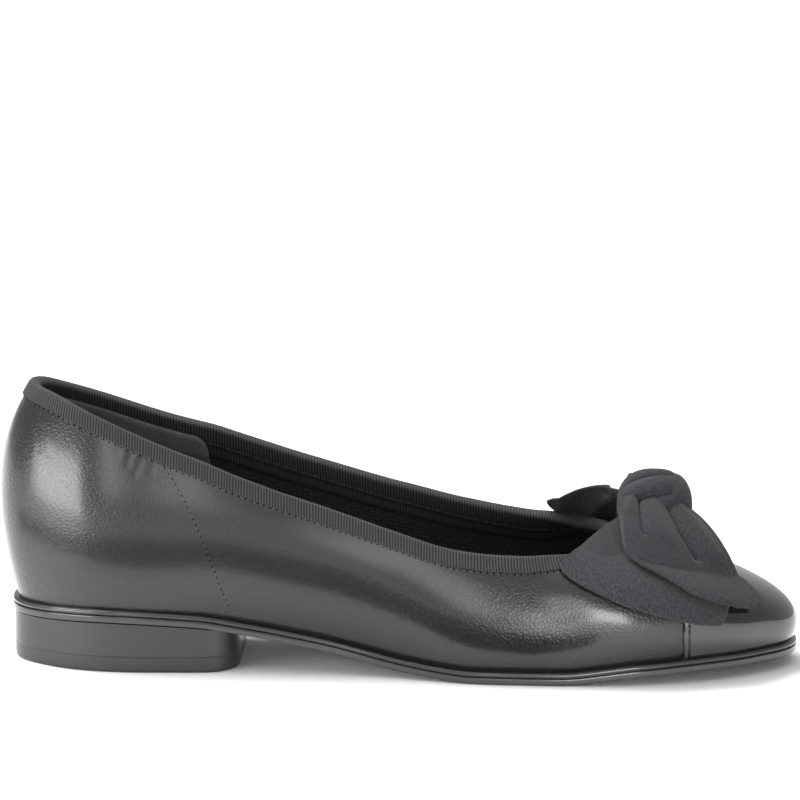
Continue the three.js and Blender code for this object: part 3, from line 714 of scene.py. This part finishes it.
# Soft creases, as bent lines of (distance from the heel back, height), with their depth and width:
# three at the heel back, then the puckers under the collar
CREASES = [
    ([(0.0072, 0.080), (0.0080, 0.076), (0.0084, 0.071)], 0.00007, 0.0010),
    ([(0.0098, 0.0800), (0.0104, 0.0755), (0.0110, 0.0700)], 0.00009, 0.0010),
    ([(0.0125, 0.077), (0.0132, 0.073), (0.0142, 0.069)], 0.00007, 0.0010),
    ([(0.0370, 0.0735), (0.0362, 0.0705)], 0.00003, 0.0008),
    ([(0.0410, 0.0715), (0.0396, 0.0670)], 0.00006, 0.0009),
    ([(0.0445, 0.0700), (0.0420, 0.0640)], 0.00005, 0.0009),
    ([(0.0480, 0.0680), (0.0468, 0.0645)], 0.00003, 0.0008),
]
creases = sum(depth * trough(line_distance(outer_face[..., 0], outer_face[..., 2], line), width)
              for line, depth, width in CREASES)
CAP_DIP_AT = 0.2143
CAP_DIP = 0.00045
cap_dip = CAP_DIP * trough(outer_face[..., 0] - CAP_DIP_AT, 0.0006)
outer_face = skin(ring[None, :], rows, -np.where(outer_face[..., 1] < 0, creases, 0) - cap_dip)
inner_rows = np.linspace(0, 1, 24)[:, None]
inner_face = skin(ring[None, :], inner_rows, np.full((1, 1), 0.0003 - WALL))
FEATHER_GAP = 0.00005
keep_over_sole((outer_face, inner_face), FEATHER_GAP)
outer_face[-1, :, 2] = underside(outer_face[-1, :, 0]) + SOLE_THICKNESS + FEATHER_GAP
upper = put("upper_skin", shell(outer_face, inner_face), sharp=60)

nappa = Finish("nappa", {
    "Base Color": (0.0062, 0.0056, 0.0054, 1), "Coat Weight": 0.9, "Coat Roughness": 0.20,
    "Specular IOR Level": 0.35,
})
hide = nappa.stretched("Object")
pebbles = nappa.node("ShaderNodeTexVoronoi", {"feature": "SMOOTH_F1"}, {
    "Vector": hide, "Scale": 1300, "Smoothness": 0.6, "Randomness": 0.9})
patches = nappa.noise(hide, 90, 3)
nappa.set("Roughness", patches * 0.10 + 0.28)
coarse = nappa.bump(nappa.noise(hide, 420, 4, 0.6), 0.00005)
nappa.bump(pebbles, 0.00018, coarse)
dress(upper, nappa, "nappa", "upper")

# The counter inside the heel is held by one line of stitches on each side, from the collar down to the
# sole: bits of thread, and between them near-black beads that paint the shade in the needle holes
BEAD_TURNS = np.linspace(-math.pi / 2, math.pi / 2, 5)[:, None]
BEAD_ROUND = np.linspace(0, 2 * math.pi, 7)[None, :]
NEEDLE_HOLE = (0.00030, 0.00026, 0.00009)
STITCH = (0.00055, 0.00017, 0.00013)
thread = Finish("thread", {"Base Color": (0.050, 0.049, 0.050, 1), "Roughness": 0.5})
# Needle holes: near-black beads without gloss, painted shade where the holes go into the leather
painted_hole_shade = Finish("painted_hole_shade", {"Base Color": (0.002, 0.002, 0.002, 1), "Roughness": 1,
                                 "Specular IOR Level": 0.0})


def run_along(line):
    """Length from the start of a line to each of its points."""
    return np.concatenate([[0], np.cumsum(np.linalg.norm(np.diff(line, axis=0), axis=-1))])


def sew(name, line, outs, pitch, size, finish, slot, start=0.5):
    """Row of flat closed beads along a line of points with their outward directions, so far apart. Each
    is an ellipsoid: half its length, width and height are its size."""
    run = run_along(line)
    places = (np.arange(int(run[-1] / pitch - start)) + start) * pitch

    def at(values, where):
        return np.stack([np.interp(where, run, column) for column in values.T], axis=-1)

    along = unit(at(line, places + pitch / 8) - at(line, places - pitch / 8))
    across = unit(np.cross(at(outs, places), along))
    axes = np.stack([along, across, np.cross(along, across)], axis=1)
    shape = np.stack(np.broadcast_arrays(
        np.sin(BEAD_TURNS), np.cos(BEAD_TURNS) * np.cos(BEAD_ROUND),
        np.cos(BEAD_TURNS) * np.sin(BEAD_ROUND)), axis=-1) * size
    beads = at(line, places)[:, None, None, :] + np.einsum("rca,bad->brcd", shape, axes)
    dress(put(name, list(beads), sharp=80), finish, slot)


COUNTER_PITCH = 0.00203
COUNTER_STITCH = (0.0004, 0.00012, 0.00007)
counter_line = np.array([(0.0497, 0.0682), (0.0550, 0.0613), (0.0590, 0.0534), (0.0640, 0.0421),
                         (0.0680, 0.0308), (0.0722, 0.0200)])
counter_way = np.linspace(0, 1, 300)
counter_steps = np.linspace(0, 1, len(counter_line))
counter_x, counter_z = (np.interp(counter_way, counter_steps, column) for column in counter_line.T)
side_ring, side_t = np.meshgrid(np.linspace(0.08, 0.20, 500), np.linspace(0, 1, 500))
side_points = wall(side_ring, side_t)
away_from_line = ((side_points[None, ..., 0].reshape(1, -1) - counter_x[:, None]) ** 2
                  + (side_points[None, ..., 2].reshape(1, -1) - counter_z[:, None]) ** 2)
on_line = away_from_line.argmin(axis=1)
smooth = np.polynomial.Polynomial.fit
counter_ring = smooth(counter_way, side_ring.ravel()[on_line], 5)(counter_way)
counter_t = smooth(counter_way, side_t.ravel()[on_line], 5)(counter_way)
for side_name, places in (("outer", counter_ring), ("inner", 1 - counter_ring)):
    line = wall(places, counter_t)
    outs = wall_normal(places, counter_t)
    sew("counter_hole_shade_" + side_name, line, outs, COUNTER_PITCH, NEEDLE_HOLE, painted_hole_shade, "nappa")
    sew("counter_thread_" + side_name, line, outs, COUNTER_PITCH, COUNTER_STITCH, thread, "nappa", 1.0)

# Lining: a dark ribbed cloth glued inside the upper, with rows of short woven dashes along the shoe. It
# shows as faint level lines over the far side's inside.
lining_rows = np.linspace(0.0, 1, 30)[:, None]
lining_out = skin(ring[None, ::2], lining_rows, np.full((1, 1), 0.00022 - WALL))
lining_in = skin(ring[None, ::2], lining_rows, np.full((1, 1), -WALL))
keep_over_sole((lining_out, lining_in), 0.0001)
lining_run = np.linspace(0, 0.56, lining_in.shape[1])
lining_depth = np.linspace(0, 0.06, len(lining_rows))
lining_map = np.stack(np.broadcast_arrays(lining_run[None, :], lining_depth[:, None]), axis=-1)
edge_map = lining_map[:2]
lining = put("lining", shell(lining_in, lining_out), [lining_map, lining_map, edge_map, edge_map], sharp=60)
lining_cloth = Finish("lining_cloth", {"Roughness": 0.85, "Sheen Weight": 0.05})
dashes = lining_cloth.node("ShaderNodeTexBrick", {"offset": 0.5}, {
    "Vector": lining_cloth.stretched("UV"), "Scale": 1, "Brick Width": 0.0042,
    "Row Height": 0.0016, "Mortar Size": 0.0005, "Mortar Smooth": 0.6,
    "Color1": grey(1), "Color2": grey(0.6), "Mortar": grey(0)})
lining_cloth.set("Base Color", lining_cloth.mix(dashes, (0.006, 0.006, 0.0065, 1),
                                               (0.022, 0.022, 0.023, 1)))
lining_cloth.bump(dashes, 0.0003)
dress(lining, lining_cloth, "sock")

# Toe cap: a patent piece laid over the toe. Its edge is folded under, puffed, and held by a row of
# stitches that draws a line along it.
CAP_START = 0.2145
CAP_PROUD = 0.0005
CAP_PUFF = 0.00030
CAP_GROOVE = 0.00055
CAP_ROWS = 110
CAP_COLUMNS = 300
CAP_FOLD = 0.0018
CAP_PITCH = 0.0019

cap_end = float(outer_place_at(np.array(CAP_START)))
cap_spread = 0.5 - 0.5 * np.cos(np.linspace(0, math.pi, CAP_COLUMNS))
cap_ring = cap_end + (1 - 2 * cap_end) * cap_spread


def share_at(ring, x):
    """Section parameter where the wall reaches a distance from the heel back."""
    return halved(lambda t: wall(ring, t)[..., 0] < x, np.zeros_like(ring), np.ones_like(ring))


cap_share = np.linspace(0, 1, CAP_ROWS)[:, None] ** 1.8
cap_edge = share_at(cap_ring, CAP_START)
cap_t = cap_edge + (1 - cap_edge) * cap_share
cap_base = wall(cap_ring[None, :], cap_t)
cap_from_edge = cap_base[..., 0] - CAP_START
cap_height = (
    CAP_PROUD * (1 - np.exp(-np.maximum(cap_from_edge, 0) / 0.00025))
    + CAP_PUFF * trough(cap_from_edge - CAP_FOLD * 0.5, 0.0006)
    - CAP_GROOVE * trough(cap_from_edge - CAP_FOLD, 0.00030)
)
cap_outer = cap_base + wall_normal(cap_ring[None, :], cap_t) * cap_height[..., None]
cap_inner = skin(cap_ring[None, :], cap_t, np.full((1, 1), 0.00003))
keep_over_sole((cap_outer, cap_inner), 0.0001)
toe_cap = put("toe_cap_skin", shell(cap_outer, cap_inner), sharp=70)
patent = Finish("patent", {
    "Base Color": (0.0125, 0.0105, 0.0100, 1), "Roughness": 0.16, "Coat Weight": 1, "Coat Roughness": 0.03,
    "IOR": 1.5,
})
ripple = patent.noise(patent.stretched("Object"), 70, 2)
patent.bump(ripple, 0.00012)
dress(toe_cap, patent, "patent", "toe_cap")
seam_end = float(outer_place_at(np.array(CAP_START + CAP_FOLD)))
seam_ring = np.linspace(seam_end + 0.001, 1 - seam_end - 0.001, 1500)
seam_t = share_at(seam_ring, CAP_START + CAP_FOLD)
# Near-black beads along the cap's seam: painted shade in its needle holes
sew("cap_hole_shade", skin(seam_ring, seam_t, np.full(1, 0.00012)), wall_normal(seam_ring, seam_t), CAP_PITCH,
    NEEDLE_HOLE, painted_hole_shade, "patent")

# Collar binding: a grosgrain ribbon folded over the topline, short outside and long inside, where a
# second ribbon shows under the first. Its ribs stand square to the edge.
RIB_PITCH = 0.00095
RIB_HEIGHT = 0.00022
BINDING_OUTSIDE = 0.0046
BINDING_INSIDE = 0.010
BINDING_FIRST = 0.0056
COLLAR_PITCH = 0.0021
INSIDE_PITCH = 0.0032
INSIDE_STITCH = (0.0008, 0.00018, 0.00016)


def top_run(places):
    """Length along the topline at places of a fine closed ring."""
    return run_along(wall(places, np.zeros_like(places)))


fine_ring = closed_ring(4000)
fine_run = top_run(fine_ring)
top_length = fine_run[-1]
ribs = round(top_length / RIB_PITCH)
rib_run = np.linspace(0, top_length, ribs * 4 + 1)
rib_ring = np.interp(rib_run, fine_run, fine_ring)
fold_angle = np.radians(np.linspace(0, 180, 11))
fold_middle = -WALL / 2
fold_reach = WALL / 2 + 0.0009
binding_profile = np.concatenate([
    [[BINDING_OUTSIDE, 0.00008], [BINDING_OUTSIDE + 0.00004, 0.0004]],
    np.column_stack([np.linspace(BINDING_OUTSIDE - 0.0002, 0.0004, 8), np.linspace(0.00062, 0.0009, 8)]),
    np.column_stack([-0.0011 * np.sin(fold_angle), fold_middle + fold_reach * np.cos(fold_angle)]),
    [[0.0015, -0.0030], [0.0030, -0.0030], [0.0044, -0.0029], [0.0049, -0.0027], [0.0052, -0.0029],
     [BINDING_FIRST, -0.0029], [BINDING_FIRST + 0.0001, -0.00262], [0.0072, -0.0026], [0.0088, -0.0026],
     [BINDING_INSIDE, -0.0025], [BINDING_INSIDE, -0.00215], [0.006, -0.00215], [0.0010, -0.00215],
     [-0.0004, -0.0015], [-0.0004, -0.0006], [0.0010, 0.00006], [0.0030, 0.00006],
     [BINDING_OUTSIDE, 0.00008]],
])
shown = len(binding_profile) - 9
rib_lift = np.where(np.arange(len(binding_profile)) < shown, 1.0, 0.0)
rib_lift[0] = 0
rib_wave = RIB_HEIGHT * np.sin(np.pi * rib_run / RIB_PITCH) ** 2
binding_down, binding_out = binding_profile.T
binding_face = skin_below(rib_ring[None, :], binding_down[:, None],
                          binding_out[:, None] + np.sign(binding_out - fold_middle)[:, None]
                          * rib_lift[:, None] * rib_wave[None, :])
profile_run = run_along(binding_profile)
binding_map = np.stack(np.broadcast_arrays(rib_run[None, :], profile_run[:, None]), axis=-1)
binding = put("binding_ribbon", [binding_face], [binding_map], sharp=80)
grosgrain = Finish("grosgrain", {"Roughness": 0.72, "Sheen Weight": 0.04, "Sheen Roughness": 0.4,
                                 "Specular IOR Level": 0.35})
ribbon_place = grosgrain.node("ShaderNodeSeparateXYZ", {}, {"Vector": grosgrain.stretched("UV")}, "X")
rib_phase = ribbon_place * (math.pi / RIB_PITCH)
rib_top = rib_phase.math("SINE", rib_phase)
# Painted shade: the colour is near black between the ribs and lighter on their tops, with the yarn's own
# tone mixed in
rib_painted_shade = rib_top * rib_top
yarn = grosgrain.noise(grosgrain.stretched("UV", (500, 2600, 1)), 1, 3)
grosgrain.set("Base Color", grosgrain.mix(rib_painted_shade * (yarn * 0.7 + 0.5), (0.003, 0.003, 0.003, 1),
                                         (0.050, 0.050, 0.051, 1)))
grosgrain.bump(yarn, 0.00008)
dress(binding, grosgrain, "grosgrain", "collar_binding")


def seam_below(ring, down, out):
    """Line round the upper at a distance under the collar's edge, with its outward directions."""
    return skin_below(ring, down, out), wall_normal(ring, share_down(ring, np.full_like(ring, down)))


seam_line, seam_outs = seam_below(closed_ring(2500), BINDING_OUTSIDE + 0.00045, 0.0)
# Near-black beads under the binding: painted shade in the collar seam's needle holes
sew("collar_hole_shade", seam_line, seam_outs, COLLAR_PITCH, NEEDLE_HOLE, painted_hole_shade, "nappa")
sew("collar_thread", seam_line, seam_outs, COLLAR_PITCH, STITCH, thread, "nappa", 1.0)
seam_line, seam_outs = seam_below(closed_ring(2500), 0.0050, -0.0029)
sew("inside_thread", seam_line, -seam_outs, INSIDE_PITCH, INSIDE_STITCH, thread, "grosgrain")

# Heel grip: a grey-black suede patch round the inside of the heel, laid over the binding's inner edge
# and stitched near its own, so that the heel doesn't slip.
GRIP_FRONT = 0.060
GRIP_SLANT = 0.008
GRIP_TOP = 0.0034
GRIP_PITCH = 0.0022

grip_rows = np.array([0.0034, 0.0036, 0.0042, 0.0052, 0.0070, 0.0090, 0.0103, 0.0116, 0.015, 0.020, 0.026,
                      0.033, 0.040])
grip_lie = np.interp(grip_rows, [0.0103, 0.0116], [-0.0034, -0.0024])
grip_puff = 0.0007 * (1 - np.exp(-(grip_rows - GRIP_TOP) / 0.0003)) + 0.0001
grip_corner = 0.0035 * np.exp(-(grip_rows - GRIP_TOP) / 0.001)
grip_fronts = GRIP_FRONT - grip_corner + GRIP_SLANT * (grip_rows / 0.05)
grip_end = outer_place_at(grip_fronts)
grip_ring = np.linspace(-1, 1, 160)[None, :] * grip_end[:, None]
grip_edge = np.minimum(1, (1 - np.abs(np.linspace(-1, 1, 160))) / 0.02)[None, :]
grip_near = skin_below(grip_ring, grip_rows[:, None], grip_lie[:, None] - grip_puff[:, None] * grip_edge)
grip_far = skin_below(grip_ring, grip_rows[:, None], grip_lie[:, None] + np.zeros_like(grip_ring))
grip = put("heel_grip_suede", shell(grip_near, grip_far, open_sides=True), sharp=60)
suede = Finish("suede", {"Roughness": 0.95, "Sheen Weight": 0.35, "Sheen Roughness": 0.5})
nap = suede.noise(suede.stretched("Object"), 1500, 4, 0.7)
brushed = suede.noise(suede.stretched("Object", (1, 1, 2)), 120, 3)
suede.set("Base Color", suede.mix(nap * 0.6 + brushed * 0.5, (0.024, 0.0245, 0.026, 1),
                                  (0.150, 0.152, 0.157, 1)))
suede.bump(nap, 0.00025)
dress(grip, suede, "suede", "heel_grip")
grip_seam = float(outer_place_at(np.array(GRIP_FRONT - 0.002)))
seam_line, seam_outs = seam_below(np.linspace(-grip_seam, grip_seam, 1200), GRIP_TOP + 0.0022, -0.0042)
sew("grip_thread", seam_line, -seam_outs, GRIP_PITCH, STITCH, thread, "suede")

# Bow: crepe ribbon tied over the throat and tacked on the vamp. Each loop or tail fans out from under
# the knot along rays and rests on the upper; its pleats are drawn in by the knot.
KNOT_LENGTH = 0.024
KNOT_WIDTH = 0.021
KNOT_HEIGHT = 0.0234
KNOT_AHEAD_OF_THROAT = 0.013
KNOT_SEAT = 0.54
BOW_LENGTH = 0.060
BOW_SPREAD = 0.038
BOW_DROP = 0.035
ROOT_LENGTH = 0.8
ROOT_SIDE = 0.2
RIBBON_REST = 0.0017
LAYER_STEP = 0.0021
CLOTH_ACROSS = 0.06
CLOTH_ALONG = 0.045
# Rays: ahead of the knot, side, down, root, belly and sweep. Ahead and sweep are shares of the bow's
# length, side of its spread, down of its drop, root and belly of the knot's height.
NEAR_LOOP = [
    [-0.510, 0.842, 0.405, -0.08, 0.13, 0.00],
    [-0.360, 0.947, 0.535, -0.12, 0.16, 0.00],
    [-0.145, 0.987, 0.690, -0.20, 0.16, 0.00],
    [0.078, 0.947, 0.800, -0.20, 0.16, 0.00],
    [0.245, 0.826, 0.880, -0.20, 0.16, 0.00],
    [0.337, 0.740, 0.900, -0.20, 0.14, 0.00],
    [0.360, 0.560, 0.743, -0.20, 0.12, 0.00],
]
NEAR_TAIL = [
    [-0.167, 0.500, 0.114, 0.16, 0.22, -0.02],
    [-0.145, 0.675, 0.271, 0.16, 0.26, -0.02],
    [-0.045, 0.770, 0.429, 0.16, 0.26, 0.00],
    [0.127, 0.776, 0.635, 0.16, 0.26, 0.00],
    [0.290, 0.690, 0.780, 0.14, 0.28, 0.00],
    [0.417, 0.560, 0.855, 0.10, 0.29, 0.02],
    [0.505, 0.420, 0.890, 0.06, 0.30, 0.04],
]
FAR_LOOP = [
    [-0.610, 0.720, 0.225, 0.13, 0.19, 0.00],
    [-0.425, 0.868, 0.430, 0.02, 0.15, 0.00],
    [-0.183, 0.974, 0.660, -0.20, 0.14, 0.00],
    [0.050, 0.947, 0.800, -0.20, 0.16, 0.00],
    [0.217, 0.826, 0.880, -0.20, 0.16, 0.00],
    [0.317, 0.730, 0.900, -0.20, 0.14, 0.00],
    [0.360, 0.560, 0.743, -0.20, 0.12, 0.00],
]
FAR_TAIL = [
    [-0.100, 0.560, 0.060, 0.23, 0.27, 0.00],
    [-0.100, 0.740, 0.240, 0.22, 0.30, 0.00],
    [-0.050, 0.790, 0.429, 0.16, 0.28, 0.00],
    [0.083, 0.776, 0.650, 0.14, 0.26, 0.00],
    [0.170, 0.720, 0.780, 0.13, 0.28, 0.00],
    [0.240, 0.640, 0.860, 0.10, 0.28, 0.00],
    [0.280, 0.520, 0.900, 0.06, 0.26, 0.00],
]

vamp_ring, vamp_t = np.meshgrid(np.linspace(0.28, 0.72, 150), np.linspace(0, 1, 70))
vamp_points = wall(vamp_ring, vamp_t).reshape(-1, 3)
vamp_normals = wall_normal(vamp_ring, vamp_t).reshape(-1, 3)
vamp_squares = (vamp_points ** 2).sum(axis=-1)


def rest_over(points, clearance):
    """Lifts points that lie too low to a clearance over the upper: each is measured along the normal
    of the nearest of a fine set of the upper's points."""
    flat = points.reshape(-1, 3)
    lifted = []
    for some in np.array_split(flat, max(1, len(flat) // 1000)):
        nearest = (vamp_squares - 2 * some @ vamp_points.T).argmin(axis=1)
        normal = vamp_normals[nearest]
        height_over = ((some - vamp_points[nearest]) * normal).sum(axis=-1)
        lifted.append(some + normal * np.maximum(clearance - height_over, 0)[:, None])
    return np.concatenate(lifted).reshape(points.shape)


throat = wall(np.array(0.5), np.array(0.0))
knot_x = throat[0] + KNOT_AHEAD_OF_THROAT
under_knot = vamp_points[((vamp_points - [knot_x, 0, throat[2]]) ** 2).sum(axis=-1).argmin()]
knot_centre = np.array([knot_x, 0, under_knot[2] + GAP + KNOT_HEIGHT * KNOT_SEAT])


def ribbon(name, rays, side, layer, folds=(), thickness=0.0009, rows=90, columns=130):
    """Fanned ribbon: rays run from under the knot to the hem and belly out on the way. Each fold is a
    line on the ribbon with a depth, up or down, and a width in shares of the ribbon."""
    across = np.linspace(0, 1, columns)[None, :]
    along = np.linspace(0, 1, rows)[:, None]
    table = np.column_stack([np.linspace(0, 1, len(rays)), rays])
    values = np.moveaxis(steady_curve(table)(across[0]), -1, 0)[:, None, :]
    ahead, aside, drop, root_up, belly, sweep = values
    zero = np.zeros_like(ahead)
    root = knot_centre + np.stack([(across - 0.5) * KNOT_LENGTH * ROOT_LENGTH,
                                   zero + side * KNOT_WIDTH * ROOT_SIDE, KNOT_HEIGHT * root_up], axis=-1)
    hem = knot_centre + np.stack([ahead * BOW_LENGTH, side * aside * BOW_SPREAD, -drop * BOW_DROP], axis=-1)
    way = (along * (1 - 0.05 * trough(across, 0.05) - 0.04 * trough(1 - across, 0.03)))[..., None]
    swell = 4 * along * (1 - along)
    outwards = np.array([0, side, 1]) / math.sqrt(2)
    middle = root * (1 - way) + hem * way + outwards * (belly * KNOT_HEIGHT * swell)[..., None]
    middle[..., 0] += sweep * BOW_LENGTH * swell

    def normal_of(grid):
        down_way = np.gradient(grid, axis=0)
        across_way = np.gradient(grid, axis=1)
        return unit(np.cross(down_way, across_way)) * -side

    relief = sum(depth * trough(line_distance(across, along, line), width) for line, depth, width in folds)
    if len(folds):
        middle = middle + normal_of(middle) * relief[..., None]
    clearance = RIBBON_REST + thickness / 2 + layer * LAYER_STEP
    middle = rest_over(middle, clearance)
    normal = normal_of(middle)
    edge = np.minimum(np.minimum(across, 1 - across) * 60, np.minimum(1 - along, 1) * 60)
    half = (thickness / 2 * np.sqrt(np.clip(edge, 0.15, 1)))[..., None]
    outside, inside = middle + normal * half, middle - normal * half
    flat = np.stack(np.broadcast_arrays(across * CLOTH_ACROSS, along * CLOTH_ALONG), axis=-1)
    return put(name, shell(outside, inside, open_sides=True), shell(flat, flat, open_sides=True), sharp=75)


crepe = Finish("crepe", {"Roughness": 0.88, "Sheen Weight": 0.10, "Sheen Roughness": 0.45,
                         "Specular IOR Level": 0.20})
crinkle = crepe.noise(crepe.stretched("UV", (2500, 700, 1)), 1, 3, 0.6)
grains = crepe.noise(crepe.stretched("Object"), 1400, 3, 0.6)
# Painted light and shade: the colour follows the crinkles and grains of the relief, lighter on their tops
# and darker in their hollows
crinkle_painted_shade = crinkle * 0.7 + grains * 0.3
crepe.set("Base Color", crepe.mix((crinkle_painted_shade - 0.3) * 2.2, (0.008, 0.0075, 0.0085, 1),
                                  (0.064, 0.059, 0.067, 1)))
crepe.bump(crinkle + grains * 0.4, 0.0005)

near_loop = ribbon("near_loop", NEAR_LOOP, -1, 0)
dress(near_loop, crepe, "crepe", "bow_loop_near")
near_tail = ribbon("near_tail", NEAR_TAIL, -1, 1, folds=[
    ([(0.27, 0.10), (0.30, 0.35), (0.32, 0.60)], -0.0018, 0.028),
    ([(0.16, 0.10), (0.18, 0.40)], 0.0010, 0.06),
    ([(0.45, 0.10), (0.48, 0.50)], 0.0014, 0.09),
    ([(0.62, 0.12), (0.65, 0.40), (0.70, 0.62)], -0.0018, 0.028),
    ([(0.80, 0.10), (0.84, 0.55)], 0.0014, 0.08),
])
dress(near_tail, crepe, "crepe", "bow_tail_near")
far_loop = ribbon("far_loop", FAR_LOOP, 1, 0, folds=[
    ([(0.04, 0.25), (0.06, 0.60), (0.10, 0.95)], 0.0012, 0.03),
    ([(0.11, 0.25), (0.15, 0.60), (0.20, 0.90)], -0.0016, 0.03),
    ([(0.20, 0.25), (0.26, 0.60), (0.32, 0.85)], 0.0012, 0.04),
    ([(0.32, 0.25), (0.40, 0.60)], -0.0016, 0.04),
])
dress(far_loop, crepe, "crepe", "bow_loop_far")
far_tail = ribbon("far_tail", FAR_TAIL, 1, 1)
dress(far_tail, crepe, "crepe", "bow_tail_far")

# Knot: the ribbon wrapped round the middle of the bow. Its folds run along the shoe over the top and
# the outer side, and two bands of it turn down over the toe side.
KNOT_ROWS = 150
KNOT_COLUMNS = 220
KNOT_WRAPS = 7
KNOT_LEAN = 0.35
KNOT_TOE_SIDE = 0.42
KNOT_BAND_TURN = 5.2
KNOT_FOLD_SHARPNESS = 0.6
KNOT_FOLD_DEPTH = 0.17


def knot_surface():
    """Blunt egg with folds: round ridges between sharp creases, by the angle round the shoe's length
    at the heel side, and by the place along it at the toe side."""
    turn = np.linspace(-math.pi / 2, math.pi / 2, KNOT_ROWS)[:, None]
    round_it = np.linspace(0, 2 * math.pi, KNOT_COLUMNS)[None, :]
    along = np.sin(turn)
    slim = np.maximum(0, 1 - np.abs(along) ** 2.5) ** 0.4
    lean = round_it + KNOT_LEAN * along
    wraps = np.abs(np.sin(lean * KNOT_WRAPS / 2)) ** KNOT_FOLD_SHARPNESS
    bands = np.abs(np.sin((along - KNOT_TOE_SIDE) * KNOT_BAND_TURN)) ** KNOT_FOLD_SHARPNESS
    toe_side = 1 / (1 + np.exp(-(along - KNOT_TOE_SIDE - 0.10 * np.sin(round_it)) / 0.03))
    fold = (wraps - 0.9) * (1 - toe_side) + (bands - 0.9) * toe_side
    grow = 1 + KNOT_FOLD_DEPTH * fold * slim
    x = knot_centre[0] + along * KNOT_LENGTH / 2
    y = slim * grow * np.cos(round_it) * KNOT_WIDTH / 2
    z = knot_centre[2] + slim * grow * np.sin(round_it) * KNOT_HEIGHT / 2
    return np.stack(np.broadcast_arrays(x, y, z), axis=-1)


knot_grid = rest_over(knot_surface(), 0.0004)
knot_map = np.stack(np.broadcast_arrays(np.linspace(0, CLOTH_ACROSS, KNOT_COLUMNS)[None, :],
                                        np.linspace(0, 0.03, KNOT_ROWS)[:, None]), axis=-1)
knot = put("knot_wrap", [knot_grid], [knot_map], sharp=75)
dress(knot, crepe, "crepe", "bow_knot")
